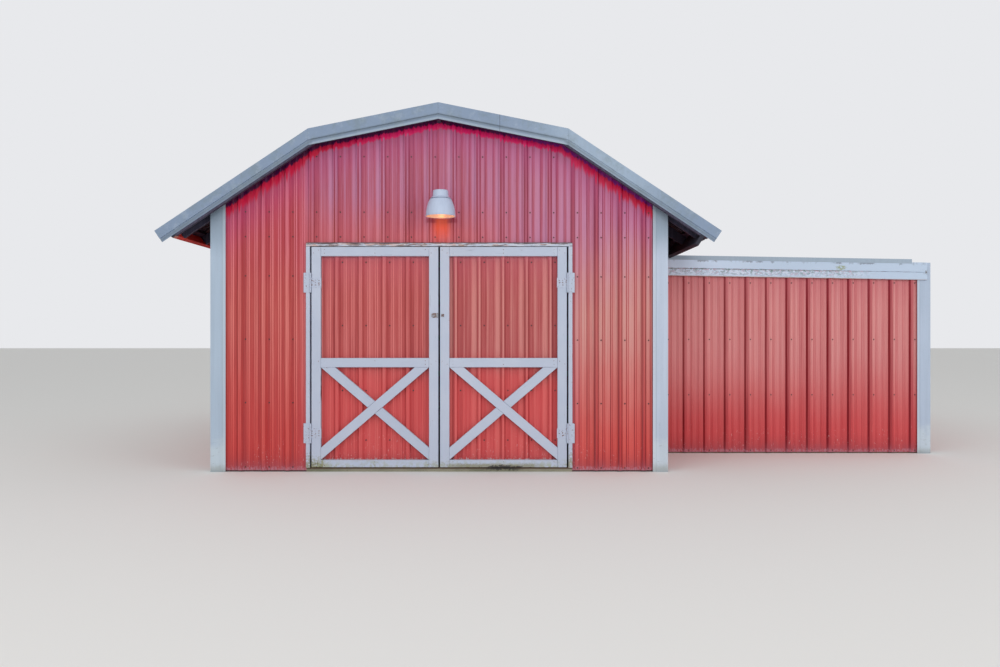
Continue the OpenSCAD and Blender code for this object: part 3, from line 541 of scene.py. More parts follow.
def front_look(c):
    """The barn's front: deep red at the left, paler at the right and cooler on the gable as painted sky
    sheen.
    """
    s, x, z = c.settings, c.x, c.z
    # Paler towards the right and up the gable: a painted reflection of the sky
    right = (x + c.waver * 0.4).fade(-1.0, 1.4)
    high = (z + c.waver * 0.15).fade(1.50, 2.45)
    red_set, sheen_set = wall_shades(c, (z + c.waver * 0.15).fade(0.08, 1.6))
    gable_sheen_set = (s.gable_crease, s.gable, s.gable_pale)
    # High on the left: painted shade of the roof, with painted highlights on the lit ribs
    left_set = c.shades(high, red_set, (s.crease, s.shaded, rgb(214, 118, 132)))
    right_set = c.shades(high, sheen_set, gable_sheen_set)
    # Warmer low on the gable left of the middle, with less of the painted sky reflection
    red_share = z.fade(2.75, 2.20) * x.fade(1.0, 0.2)
    over = c.shades(red_share, gable_sheen_set, (s.crease, rgb(180, 80, 92), rgb(202, 114, 126)))
    above = c.mix(right, c.ramp(c.tone(GABLE_LEFT, GABLE_SHIFT), *over),
                  c.ramp(c.tone(GABLE_RIGHT, GABLE_SHIFT), *over))
    # Under the roof's edge: painted shade, purple near the roof and a ragged deep red band that is both
    # unfaded paint and painted shade
    depth = roof_depth(c)
    steep = abs(x).fade(1.18, 1.32)
    drips = c.mottle(46.0, (1, 1, 0.06), 3.0, 0.6)
    flutes = c.tone(GABLE_LEFT, GABLE_SHIFT)
    ragged = depth - (drips - 0.5) * (0.05 + steep * 0.07) - (0.66 - flutes) * (0.03 + steep * 0.03)
    shelter_and_shade = ((ragged - 0.168) / (0.022 + steep * 0.035)).fade(1.0, 0.0)
    kept = c.mix(x.fade(-1.2, -0.4) * x.fade(1.9, 0.7), s.sheltered_and_shaded, rgb(224, 0, 100))
    # Near-black painted shadow right under the rake trim
    edge = c.mix(x.fade(0.3, 1.2), rgb(40, 4, 66), rgb(124, 30, 132))
    base = c.coats(
        above,
        (x.fade(1.10, 1.40), c.ramp(c.tone(RIGHT_WALL), *right_set)),
        (x.fade(-1.12, -1.42), c.ramp(c.tone(LEFT_WALL), *left_set)),
        # Painted shade near the roof
        (depth.fade(0.60, 0.12) * 0.40, rgb(176, 60, 130)),
        # Unfaded paint and painted shade under the overhang
        (shelter_and_shade, kept),
        # Painted shadow right under the trim
        ((depth - (drips - 0.5) * 0.07).fade(0.138, 0.122) * 0.92, edge))
    return painted_lamp_light(c, base)


def painted_lamp_light(c, base):
    """Painted warm light of the lamp on the wall just under it, and painted shadow below the shade's rim on
    each side.
    """
    across, z = abs(c.x - LAMP_X), c.z
    # Painted warm light of the lamp
    warm = across.fade(0.125, 0.035) * z.fade(2.12, 2.40) * z.fade(2.450, 2.430)
    # Painted shadow under the shade's rim
    rim = across.fade(0.165, 0.130) * across.fade(0.030, 0.080) * z.band(2.398, 2.440, 0.010)
    return c.coats(base, (warm * 0.85, rgb(232, 90, 56)), (rim * 0.55, rgb(136, 14, 44)))


def door_look(c):
    """The door sheets: rib shade painted as on the wall beside each leaf, and a painted sky sheen at the
    top.
    """
    s, z = c.settings, c.z
    mid = (z + c.waver * 0.1).fade(0.80, 1.20)
    foot = (rgb(160, 50, 54), rgb(200, 74, 76), rgb(212, 96, 95))
    left_set = c.shades(mid, foot, (s.crease, rgb(177, 76, 76), rgb(212, 120, 118)))
    right_set = c.shades(mid, foot, (s.faded_sheen_crease, rgb(170, 75, 77), rgb(203, 128, 124)))
    scratches = c.mottle(90.0, (1, 1, 0.25), 3.0, 0.7).fade(0.64, 0.69)
    flakes = c.mottle(60.0, (1, 1, 0.6), 4.0, 0.7).fade(0.50, 0.58)
    return c.coats(
        c.ramp(c.tone(LEFT_WALL), *left_set),
        (c.x.fade(-0.2, 0.2), c.ramp(c.tone(GABLE_LEFT), *right_set)),
        # Cooler at the top: a painted reflection of the sky
        (z.fade(1.6, 2.15) * 0.35, rgb(190, 84, 108)),
        # Painted highlight just under the head, where its shadow falls
        (z.fade(2.02, 2.10) * 0.55, rgb(226, 136, 154)),
        (scratches * z.fade(0.55, 0.12) * 0.75, rgb(222, 182, 182)),
        (flakes * z.fade(0.134, 0.120) * 0.7, rgb(206, 196, 200)))


def lean_look(c):
    """The lean-to: paler above in a painted sky sheen, deep red below, with painted crease shade at each
    rib.
    """
    s, x, z = c.settings, c.x, c.z
    mid = (z + c.waver * 0.1).fade(0.18, 1.28)
    tints = c.shades(mid, (s.lean_crease, rgb(190, 62, 67), rgb(206, 80, 83)),
                     (s.lean_crease, s.lean_red, s.lean_pale))
    chips = c.mottle(70.0, (1, 1, 0.4), 3.0, 0.7).fade(0.70, 0.74)
    return c.coats(
        c.ramp(c.tone(LEAN_TO, LEAN_TO_SHIFT), *tints),
        # Painted shade under the fascia near the top
        (z.fade(1.55, 2.0) * 0.30, rgb(178, 76, 96)),
        # Painted light at the left end, where the barn's wall shades the lean-to
        (x.fade(4.2, 2.7) * z.fade(0.3, 1.1) * 0.24, rgb(228, 146, 148)),
        (chips * z.fade(1.78, 1.90) * 0.7, rgb(224, 196, 200)))


def side_look(c):
    """Evenly weathered paint for the walls that the sun reaches less, with painted rib and eave shade."""
    sets = wall_shades(c, (c.z + c.waver * 0.3).fade(0.1, 1.5))
    tints = c.shades(0.35 + c.blotch * 0.35, *sets)
    # Painted rib light and shade, and painted shade high up under the eaves
    return c.coats(c.ramp(c.tone(LEFT_WALL), *tints), (c.z.fade(2.15, 2.50) * 0.6, rgb(172, 30, 60)))


# Heights of the screw rows, which are those of the girts behind the sheets
FRONT_ROWS = (0.040, 0.660, 1.271, 1.882, 2.260, 2.499, 3.034)
SIDE_ROWS = (0.040, 0.642, 1.246, 1.867, 2.499)
BACK_ROWS = (*SIDE_ROWS, 3.034)
LEAN_TO_ROWS = (0.032, 0.649, 1.264, 1.892)
DOOR_ROWS = (0.30, 0.78, 1.408, 2.020)


class Wall:
    """A ribbed wall: its sheets, the way it faces, its look, its screw rows and one tall rib.

    Its screw rows fall by drop for each metre to the right, and its screws stand shift further along.
    """

    def __init__(self, nodes, facing, look, rows, pitch, rib=None, drop=0.0, shift=0.0):
        self.nodes = nodes
        self.facing = facing
        self.look = look
        self.rows = rows
        self.axis = 1 if facing[0] else 0
        self.rib = self.find_rib(pitch) if rib is None else rib
        self.drop = drop
        self.shift = shift

    def find_rib(self, pitch):
        """Place of a tall rib, from the points that stand out furthest."""
        points = [vertex.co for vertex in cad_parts[self.nodes[0]].data.vertices]
        reach = [point.dot(Vector(self.facing)) for point in points]
        rib_top = max(reach) - 0.0004
        turns = [math.tau * point[self.axis] / pitch for point, out in zip(points, reach) if out > rib_top]
        return math.atan2(sum(map(math.sin, turns)), sum(map(math.cos, turns))) * pitch / math.tau


def ribbed_walls(s):
    """The ribbed walls by name, in the order in which they are painted and screwed down."""
    front = ["front_siding_left", "front_siding_right", "front_siding_top"]
    return {
        "front": Wall(front, FRONT, front_look, FRONT_ROWS, s.pitch, s.front_phase, drop=0.003),
        "back": Wall(["back_siding"], BACK, side_look, BACK_ROWS, s.pitch),
        "left": Wall(["left_siding"], LEFT, side_look, SIDE_ROWS, s.pitch),
        "right": Wall(["right_siding"], RIGHT, side_look, SIDE_ROWS, s.pitch),
        "lean_to_front": Wall(["lean_to_front_siding"], FRONT, lean_look, LEAN_TO_ROWS, s.pitch,
                              s.lean_phase, shift=-0.015),
        "lean_to_back": Wall(["lean_to_back_siding"], BACK, lean_look, LEAN_TO_ROWS, s.pitch),
        "lean_to_side": Wall(["lean_to_side_siding"], RIGHT, lean_look, LEAN_TO_ROWS, s.pitch),
        "doors": Wall(["left_door_sheet", "right_door_sheet"], FRONT, door_look, DOOR_ROWS, s.pitch,
                      s.door_phase),
    }


class BARN_OT_paint_siding(bpy.types.Operator):
    """Paint the ribbed sheets of the barn, the lean-to and the doors"""

    bl_idname = "barn.paint_siding"
    bl_label = "Paint Siding"

    def execute(self, context):
        s = context.scene.barn_siding
        for name, wall in ribbed_walls(s).items():
            dress(wall.nodes, ribbed_paint(name + "_paint", wall.axis, wall.rib, wall.look, s))
        return {"FINISHED"}


# Trims and roof metal


def coated_metal(name, paint, wear):
    """Painted sheet metal with run marks and specks of rust; paint gives the base colour."""
    s = bpy.context.scene.barn_metal
    c = Coat(name, 1.3)
    spots = c.mottle(21.0, detail=5.0, roughness=0.72).fade(0.70, 0.76)
    base = c.coats(
        paint(c, s),
        (c.streak * 0.12, rgb(124, 138, 154)),
        (spots * wear, s.rust),
        (c.speck * 0.14, rgb(96, 100, 104)),
        (c.splash(0.10) * 0.5, rgb(128, 128, 112)))
    roughness = 0.42 + c.blotch * 0.15 + spots * 0.3
    return c.finish(base, roughness, c.blotch + c.streak * 0.3, bump=0.12, reach=0.003)


def corner_paint(c, s):
    """Corner trims: greyer at the left, painted shade under the eaves, hems with painted light and shade,
    scuffed feet.
    """
    x, z = c.x, c.z
    front = c.y.fade(-1.0, -1.5)
    hems = []
    for start, end in TRIM_HEMS:
        edge = start if start < 0 else end
        # A painted highlight on each hem and a painted shade line along the trim's outer fold
        hems += [
            (x.band(start, end, 0.0012) * front * 0.30, rgb(204, 212, 222)),
            (x.band(edge - 0.003, edge + 0.003, 0.002) * front * 0.40, rgb(106, 118, 134))]
    dents = c.mottle(7.0, roughness=0.6)
    pale = (z + (dents - 0.5) * 0.4).fade(0.34, 0.20) * z.fade(0.0, 0.03)
    scuffs = c.mottle(26.0, (0.5, 0.5, 1.6), 5.0, 0.75).fade(0.60, 0.66)
    return c.coats(
        c.mix(x.fade(-0.6, 1.2), s.trim_left, s.trim),
        (x.fade(4.5, 5.1), s.trim_lean),
        (c.blotch * 0.16, rgb(150, 166, 184)),
        # Painted shade under the eaves
        (z.fade(2.02, 2.34) * x.fade(4.0, 3.5) * 0.85, rgb(138, 156, 174)),
        *hems,
        (dents.fade(0.66, 0.72) * z.fade(0.6, 0.2) * 0.35, rgb(120, 128, 134)),
        (pale * 0.40, rgb(212, 224, 226)),
        (scuffs * z.fade(0.42, 0.10) * 0.55, rgb(112, 122, 122)))


def rake_paint(c, s):
    """Rake trims: a soft painted shadow under the fold, a painted highlight below, stains, and a lap of two
    lengths.
    """
    depth = roof_depth(c)
    knee = abs(c.x - 1.55).fade(0.9, 0.2)
    stain = c.mottle(6.0, detail=6.0, roughness=0.75).fade(0.46, 0.66)
    pale = c.mottle(9.0, detail=5.0, roughness=0.7).fade(0.52, 0.66)
    lap = abs(c.x - RAKE_LAP).fade(0.0042, 0.0012)
    return c.coats(
        s.rake,
        (knee * 0.7, rgb(158, 178, 198)),
        (stain * 0.42, rgb(110, 126, 128)),
        (pale * 0.35, rgb(156, 172, 190)),
        (depth.band(0.076, 0.100, 0.012) * 0.60, rgb(88, 102, 112)),
        # Painted highlight on the lower band
        (depth.fade(0.104, 0.116) * 0.55, rgb(160, 176, 188)),
        (lap * 0.8, rgb(66, 74, 88)))


def strip_paint(c, s):
    """Edge strip of the lean-to's roof"""
    return c.mix(c.blotch * 0.4, s.strip, rgb(166, 182, 196))


def roof_paint(c, s):
    """Roof sheets, with painted shade making the underside that shows at the eaves nearly black."""
    up = c.normal()[2]
    # Faces that look down are painted nearly black: painted shade
    return c.coats(s.roof, (c.blotch * 0.3, rgb(196, 202, 208)), (up.fade(-0.1, -0.5), rgb(34, 29, 44)))


class BARN_OT_coat_trims(bpy.types.Operator):
    """Paint the corner trims, rake trims, flashings and roof sheets"""

    bl_idname = "barn.coat_trims"
    bl_label = "Coat Trims and Roof"

    def execute(self, context):
        dress(["corner_trims", "lean_to_corner_trims"],
              coated_metal("corner_trim_paint", corner_paint, 0.30))
        dress(["rake_trims"], coated_metal("rake_trim_paint", rake_paint, 0.25))
        dress(["lean_to_roof_edge"], coated_metal("roof_edge_paint", strip_paint, 0.3))
        dress(["lower_roof_sheets", "upper_roof_sheets", "lean_to_roof", "ridge_cap",
               "knee_flashings"], coated_metal("roof_metal", roof_paint, 0.7))
        return {"FINISHED"}


# Boards


def board_paint(name, settings, wear, marks, bare=None, cracks=0.8):
    """Pale paint on a sawn board, worn through to the wood; marks adds a board's own wear and any painted
    light or shade.
    """
    c = Coat(name)
    run = c.out(c.node("ShaderNodeUVMap", uv_map="grain"))
    figure, crack, flake = c.use("Painted Grain", Grain=run, Wear=wear)
    shade = c.out(c.node("ShaderNodeAttribute", attribute_name="tone"), "Fac")
    wood = c.mix(figure, bare or settings.bare, rgb(92, 72, 56))
    stain = c.splash(0.13) * c.mottle(30.0, detail=4.0).fade(0.42, 0.60)
    base = c.coats(
        settings.paint,
        (shade * 0.35, rgb(168, 182, 204)),
        (c.mottle(3.1, detail=4.0).fade(0.4, 0.7) * 0.22, rgb(206, 212, 226)),
        (figure * 0.12, settings.grime),
        (flake, wood),
        (crack * cracks, rgb(58, 50, 46)),
        (stain * 0.7, settings.damp))
    height = (1.0 - flake) * 0.5 + figure * 0.14 - crack * 0.7
    return c.finish(marks(c, base), 0.58 + flake * 0.25, height, bump=0.5, reach=0.0016)


def door_marks(c, base):
    """Damp, dark feet of the stiles, rot along the right bottom rail, painted shade under the right leaf,
    small chips.
    """
    x, z = c.x, c.z
    far = abs(x)
    rough = c.mottle(55.0, detail=5.0, roughness=0.75)
    stiles = c.most(far - 1.10, 0.12 - far).fade(0.0, 0.02)
    feet = stiles * z.fade(0.22, 0.05) * (0.35 + x.fade(0.3, -0.9) * 0.65)
    crack = abs(x + 1.137 + (c.mottle(12.0) - 0.5) * 0.006).fade(0.0030, 0.0010)
    rot = (z + (rough - 0.5) * 0.06).fade(0.092, 0.066) * x.band(0.10, 0.95, 0.10)
    worm = c.mottle(44.0, (0.35, 1, 1), 5.0, 0.75)
    # Painted shade of the dark hollow under the right leaf's bottom rail
    hole = (z - x.band(0.44, 0.80, 0.14) * 0.020 + (worm - 0.5) * 0.16).fade(0.042, 0.036)
    chips = c.mottle(140.0, roughness=0.7).fade(0.735, 0.76)
    return c.coats(
        base,
        ((rough + feet * 0.24).fade(0.60, 0.68) * feet * 0.85, rgb(132, 134, 92)),
        ((rough + feet * 0.16).fade(0.69, 0.72) * feet * 0.85, rgb(72, 60, 44)),
        (crack * z.band(0.70, 0.92, 0.05) * 0.9, rgb(58, 50, 52)),
        (rot * 0.75, rgb(128, 124, 92)),
        (hole * x.band(0.30, 0.92, 0.05) * 0.9, rgb(42, 38, 42)),
        (chips * 0.55, rgb(112, 110, 112)))


def head_marks(c, base):
    """Long dark streaks on the board over the doors, and a dark line on its top edge."""
    left = c.x.fade(0.9, -0.6)
    streak = c.mottle(80.0, (0.10, 1, 1), 4.0, 0.7)
    white = c.mottle(50.0, (0.2, 1, 1), 4.0, 0.7).fade(0.44, 0.58)
    warm = c.mottle(60.0, (0.16, 1, 1), 3.0, 0.6)
    return c.coats(
        base,
        (white * 0.45, rgb(212, 214, 220)),
        ((warm + left * 0.05).fade(0.55, 0.63) * 0.7, rgb(200, 158, 142)),
        ((streak + left * 0.05).fade(0.54, 0.60) * 0.85, rgb(104, 84, 82)),
        ((c.z + (streak - 0.5) * 0.03).fade(2.192, 2.200) * 0.85, rgb(62, 46, 54)))


def jamb_marks(c, base):
    """Worn edges and damp feet of the jambs"""
    rough = c.mottle(60.0, detail=5.0, roughness=0.75)
    foot = c.z.fade(0.30, 0.05)
    return c.coats(
        base,
        ((rough + foot * 0.20).fade(0.62, 0.67) * 0.75, rgb(136, 132, 104)),
        (rough.fade(0.70, 0.73) * 0.6, rgb(86, 76, 70)))


def fascia_marks(c, base):
    """Flaked paint along the joint of the two boards, dents at the top, a raw lower edge, painted light at
    the left.
    """
    x = c.x
    depth = FASCIA_START[1] - (x - FASCIA_START[0]) * math.tan(LEAN_TO_FALL) - c.z
    left = x.fade(4.85, 4.35)
    fine = c.mottle(52.0, (0.50, 1, 1), 5.0, 0.8)
    lower = depth.fade(0.102, 0.112) * depth.fade(0.200, 0.150)
    joint = abs(depth - 0.108).fade(0.016, 0.002)
    patch = c.mottle(9.0, (0.5, 1, 1), 3.0, 0.6)
    share = (lower * 0.05 + joint * 0.06 + (patch - 0.5) * 0.20) * left
    flaked = (fine + share).fade(0.52, 0.58) * (lower * 0.9 + joint * 0.6)
    tint = c.mottle(31.0, roughness=0.7).fade(0.38, 0.62)
    under = c.ramp(tint, rgb(106, 128, 124), rgb(158, 170, 184), rgb(194, 164, 182))
    chalky = fine.fade(0.46, 0.40) * lower * left
    seam = depth.band(0.1065, 0.1105, 0.001)
    stain = abs(x - 4.36).fade(0.10, 0.02) * abs(depth - 0.075).fade(0.045, 0.01)
    notch, bite = [c.noise(c.join(x, 0.0, 0.0), scale, roughness=0.7) for scale in (4.0, 34.0)]
    dents = (depth + (bite - 0.5) * 0.08).fade(0.034, 0.026) * notch.fade(0.48, 0.58)
    raw = (depth + (fine - 0.5) * 0.01).fade(0.183, 0.189)
    end = x.fade(5.24, 5.31) * abs(depth - 0.10).fade(0.05, 0.01)
    return c.coats(
        base,
        (0.7, rgb(186, 206, 228)),
        # Paler at the left end: painted light where the eave shades the boards
        (x.fade(3.8, 2.5) * 0.75, rgb(212, 228, 250)),
        (flaked * left * 0.85, under),
        (chalky * 0.5, rgb(226, 228, 236)),
        (seam * (0.15 + left * 0.25), rgb(110, 124, 124)),
        (x.fade(2.50, 2.38) * 0.35, rgb(196, 182, 188)),
        ((fine + stain * 0.12).fade(0.58, 0.66) * stain * 0.8, rgb(132, 142, 78)),
        (dents * 0.62, rgb(88, 90, 100)),
        (raw * (0.35 + left * 0.40), rgb(190, 160, 142)),
        ((fine + end * 0.12).fade(0.56, 0.62) * end * 0.8, rgb(96, 84, 74)))


RIM_STEP = 0.035
SIDE_BITE = 0.4


def prism(bm, board, rng, bevel, ragged):
    """A board with softened, slightly worn edges, from its outline in the XZ plane."""
    outline, y0, y1, along = board
    grain = bm.loops.layers.uv.get("grain") or bm.loops.layers.uv.new("grain")
    tone = bm.faces.layers.float.get("tone") or bm.faces.layers.float.new("tone")
    rim = []
    centre = sum((Vector(p) for p in outline), Vector((0.0, 0.0))) / len(outline)
    for k, corner in enumerate(outline):
        a, b = Vector(corner), Vector(outline[(k + 1) % len(outline)])
        count = max(1, round((b - a).length / RIM_STEP))
        rim += [a.lerp(b, i / count) for i in range(count)]
    inward = []
    for k, point in enumerate(rim):
        run = rim[(k + 1) % len(rim)] - rim[k - 1]
        side = Vector((-run.y, run.x)).normalized()
        inward.append(side if side.dot(centre - point) > 0 else -side)
    bites = [rng.random() ** 4 * ragged for _ in rim]
    face_rim = [p + n * (bevel + bite) for p, n, bite in zip(rim, inward, bites)]
    side_rim = [p + n * bite * SIDE_BITE for p, n, bite in zip(rim, inward, bites)]
    rows = [
        [bm.verts.new((p.x, y, p.y)) for p in ring]
        for y, ring in ((y0, face_rim), (y0 + bevel, side_rim), (y1, side_rim))
    ]
    faces = [bm.faces.new(rows[0]), bm.faces.new(rows[2])]
    for near, far in zip(rows, rows[1:]):
        faces += [
            bm.faces.new((near[k - 1], near[k], far[k], far[k - 1])) for k in range(len(rim))]
    shade = rng.random()
    offset = Vector((rng.uniform(0.0, 9.0), rng.uniform(0.0, 9.0)))
    direction = Vector(along).normalized()
    across = Vector((-direction.y, direction.x))
    for face in faces:
        face[tone] = shade
        for loop in face.loops:
            co = loop.vert.co
            flat = Vector((co.x, co.z))
            loop[grain].uv = (flat.dot(direction) + offset.x, flat.dot(across) + co.y + offset.y)


def boards_piece(name, boards, body, replaced, paint, ragged, seed):
    """One piece from (outline, y0, y1, grain direction) boards, standing for a CAD node."""
    bm = bmesh.new()
    rng = random.Random(seed)
    for board in boards:
        prism(bm, board, rng, bpy.context.scene.barn_boards.bevel, ragged)
    bmesh.ops.recalc_face_normals(bm, faces=bm.faces)
    mesh = bpy.data.meshes.new(name)
    bm.to_mesh(mesh)
    bm.free()
    mesh.materials.append(paint)
    piece = add_object(name, mesh)
    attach(piece, body)
    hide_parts(replaced)


def rectangle(x0, x1, z0, z1):
    return [(x0, z0), (x1, z0), (x1, z1), (x0, z1)]


def leaf_boards(settings, side):
    """Stiles, rails and braces of one door leaf; side is 1 for the right leaf."""
    low, high = span("right_door_boards")
    inner, outer = low[0], high[0]
    foot, top = low[2], high[2]
    width, joint = settings.width, settings.joint
    x0, x1 = inner + width + joint, outer - width - joint
    panel_foot = foot + settings.bottom_rail
    mid_low = settings.mid_rail - width / 2
    z0, z1 = panel_foot + joint, mid_low - joint
    climb = (z1 - z0) / (x1 - x0)
    slope = math.atan(climb)
    rise = width / math.cos(slope)
    run = width / math.sin(slope)
    gap = 2 * joint

    def meet(other, long):
        """Where the cut brace's edge, lifted by other, meets the long one's, lifted by long."""
        t = (z1 - z0 + long - other) / (2 * climb)
        return (x0 + t, z0 + climb * t + other)

    upright, level = (0.0, 1.0), (1.0, 0.0)
    long_way, cut_way = (x1 - x0, z0 - z1), (x1 - x0, z1 - z0)
    flat = [
        (rectangle(inner, inner + width, foot, top), upright),
        (rectangle(outer - width, outer, foot, top), upright),
        (rectangle(x0, x1, foot, panel_foot), level),
        (rectangle(x0, x1, mid_low, mid_low + width), level),
        (rectangle(x0, x1, top - width, top), level),
        ([(x1, z0), (x1, z0 + rise), (x0 + run, z1), (x0, z1)], long_way),
        ([(x0, z0), meet(0, -gap), meet(rise, -gap), (x0, z0 + rise)], cut_way),
        ([meet(0, rise + gap), (x1, z1), (x1 - run, z1), meet(rise, rise + gap)], cut_way),
    ]
    return [
        ([(side * x, z) for x, z in outline], low[1], high[1], (side * way[0], way[1]))
        for outline, way in flat]


def fascia_boards():
    """Boards along the lean-to's front that follow the fall of its roof."""
    (x0, y0, _), (x1, y1, top) = span("lean_to_fascia_boards")
    drop = (x1 - x0) * math.tan(LEAN_TO_FALL)
    return [
        ([(x0, top - lower), (x1, top - lower - drop), (x1, top - upper - drop), (x0, top - upper)],
         y0, y1, (1.0, -drop / (x1 - x0)))
        for upper, lower in FASCIA_BOARDS]


class BARN_OT_make_boards(bpy.types.Operator):
    """Build the painted boards of the doors, their casing and the lean-to's fascia"""

    bl_idname = "barn.make_boards"
    bl_label = "Make Boards"

    def execute(self, context):
        s = context.scene.barn_boards
        paint = board_paint("door_board_paint", s, 0.16, door_marks)
        for side, sign, seed in (("left", -1, 11), ("right", 1, 12)):
            boards_piece(side + "_door_painted_boards", leaf_boards(s, sign), side + "_door",
                         side + "_door_boards", paint, 0.0022, seed)
        low, high = span("door_jambs")
        head_low, head_high = span("door_head")
        thick = head_high[2] - head_low[2]
        jambs = [
            (rectangle(x, x + thick, low[2], high[2]), low[1], high[1], (0.0, 1.0))
            for x in (low[0], high[0] - thick)]
        paint = board_paint("casing_paint", s, 0.16, jamb_marks)
        boards_piece("painted_jambs", jambs, "root", "door_jambs", paint, 0.003, 13)
        head = [(rectangle(head_low[0], head_high[0], head_low[2], head_high[2]),
                 head_low[1], head_high[1], (1.0, 0.0))]
        paint = board_paint("weathered_head_paint", s, 0.46, head_marks, rgb(186, 160, 150), 0.95)
        boards_piece("weathered_head", head, "root", "door_head", paint, 0.006, 14)
        paint = board_paint("fascia_paint", s, 0.10, fascia_marks)
        boards_piece("lean_to_painted_fascia", fascia_boards(), "root", "lean_to_fascia_boards",
                     paint, 0.008, 15)
        return {"FINISHED"}


# Timber, slab, hinges and latch


def sawn_timber(name, axis):
    """Sawn softwood with its grain along one axis, dark outside the walls with dark stain and painted shade.
    """
    c = Coat(name, 0.8)
    x, y, z = c.x, c.y, c.z
    run = {"X": (x, y, z), "Y": (y, z, x), "Z": (z, x, y)}[axis]
    figure, crack, _ = c.use("Painted Grain", Grain=c.join(*run), Wear=0.2)
    # Outside the walls the timber is blue-black: dark stain and painted shade under the roof's edge
    outside = c.most(abs(y).fade(3.035, 3.050) * x.fade(2.72, 2.70),
                     abs(x).band(2.168, 2.70, 0.004) * z.fade(2.19, 2.22))
    stain_and_shade = c.mix(figure * 0.5 + c.streak * 0.4, rgb(34, 31, 54), rgb(76, 74, 96))
    base = c.coats(
        c.mix(figure, rgb(196, 158, 112), rgb(150, 108, 68)),
        (c.blotch * 0.25, rgb(120, 98, 74)),
        (crack * 0.7, rgb(60, 44, 32)),
        (outside, stain_and_shade),
        (z.fade(0.085, 0.030) * 0.85, rgb(64, 44, 40)))
    return c.finish(base, 0.72, figure - crack * 0.5, bump=0.3, reach=0.0012)


def eave_finish(name):
    """Near-black boards, dark stain and painted shade; the left ones are red on the face looking back at the
    barn.
    """
    c = Coat(name, 0.7)
    x = c.x
    figure, _, flake = c.use("Painted Grain", Grain=c.join(c.y, c.z, x), Wear=0.7)
    inner = (c.normal()[0] * c.math("SIGN", x)).fade(-0.3, -0.6)
    left = x.fade(0.0, -0.5)
    red = c.mix(c.streak * 0.6, rgb(214, 34, 34), rgb(240, 96, 76))
    # Nearly black from dark stain and painted shade of the eaves; the left boards' inner faces bright red
    base = c.coats(
        c.mix(figure, rgb(38, 38, 56), rgb(16, 16, 28)),
        (inner * left, c.mix(flake * 0.3, red, rgb(150, 60, 50))),
        (c.y.fade(-3.09, -3.17) * inner * left * 0.8, rgb(186, 140, 124)))
    return c.finish(base, 0.7, figure, bump=0.4, reach=0.0015)


def cast_slab(name):
    """Trowelled concrete with a damp front edge and a worn hollow in it, painted dark as shade."""
    c = Coat(name, 1.0)
    x, y, z = c.x, c.y, c.z
    ragged = c.mottle(40.0, detail=4.0, roughness=0.7)
    # Painted shade in a worn hollow in front of the right leaf's foot
    hollow = x.band(0.46, 0.76, 0.10) * y.fade(-2.98, -3.03) * (z + (ragged - 0.5) * 0.10).fade(0.012, 0.024)
    base = c.coats(
        c.mix(c.blotch, rgb(142, 138, 120), rgb(108, 110, 88)),
        (c.mottle(160.0) * 0.4, rgb(168, 162, 146)),
        (c.speck * 0.6, rgb(84, 82, 76)),
        (z.fade(0.020, 0.032) * y.fade(-3.00, -3.03) * 0.85, rgb(84, 56, 40)),
        (hollow * 0.85, rgb(44, 42, 44)))
    return c.finish(base, 0.86, c.mottle(90.0, detail=4.0), bump=0.4, reach=0.001)


def painted_iron(name, paint, rust, wear):
    """Hinge metal under board paint, with rust where the paint has chipped."""
    c = Coat(name)
    chips = (c.mottle(70.0, detail=5.0, roughness=0.7) + wear * 0.2).fade(0.62, 0.66)
    brush = c.mottle(60.0, (1, 1, 0.12), 3.0)
    darker = [channel * 0.62 for channel in paint]
    base = c.coats(paint, (brush * 0.35, darker), (chips, rust))
    return c.finish(base, 0.5 + chips * 0.3, (1.0 - chips) * 0.5 + brush * 0.4, bump=0.4, reach=0.001,
                    Metallic=chips * 0.5)


class BARN_OT_finish_timber(bpy.types.Operator):
    """Finish the frame timber, the eave boards and the slab"""

    bl_idname = "barn.finish_timber"
    bl_label = "Finish Timber and Slab"

    def execute(self, context):
        dress(["wall_posts", "lean_to_posts"], sawn_timber("upright_timber", "Z"))
        dress(["wall_girts", "lean_to_girts", "lower_rafters", "upper_rafters"],
              sawn_timber("cross_timber", "X"))
        dress(["top_plates", "roof_purlins", "ridge_board", "lean_to_joists"],
              sawn_timber("long_timber", "Y"))
        dress(["eave_boards"], eave_finish("eave_board_finish"))
        dress(["floor_slab"], cast_slab("slab_concrete_finish"))
        return {"FINISHED"}


class BARN_OT_finish_hardware(bpy.types.Operator):
    """Finish the hinges, the hasp and its staple"""

    bl_idname = "barn.finish_hardware"
    bl_label = "Finish Hinges and Latch"

    def execute(self, context):
        paint = context.scene.barn_boards.paint
        rust = context.scene.barn_metal.rust
        dress(["hinge_plates", "left_door_straps", "right_door_straps"],
              painted_iron("hinge_iron", paint, rust, 0.08))
        dress(["left_door_hasp", "right_door_staple"],
              painted_iron("latch_iron", rgb(150, 156, 164), rust, 0.6))
        return {"FINISHED"}


# Lamp

BEAM_ANGLE = math.radians(64)
BEAM_TARGET = 2.405
SOURCE_SIZE = 0.02
GLASS_GLOW = 0.55


def lamp_enamel(tint):
    """Enamel on the shade and the housing, with the bulb's warm light painted inside the shade."""
    c = Coat("lamp_enamel", 0.35)
    low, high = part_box("light_shade")
    nx, ny, _ = c.normal()
    outward = (c.x - (low.x + high.x) / 2) * nx + (c.y - (low.y + high.y) / 2) * ny
    base = c.coats(
        tint,
        (c.blotch * 0.25, rgb(176, 192, 214)),
        (c.streak * 0.12, rgb(150, 160, 176)),
        # Painted warm light of the bulb on the inside of the shade
        (outward.fade(-0.01, -0.03), rgb(226, 196, 178)))
    return c.finish(base, 0.30 + c.blotch * 0.1, c.blotch, bump=0.05, reach=0.001)


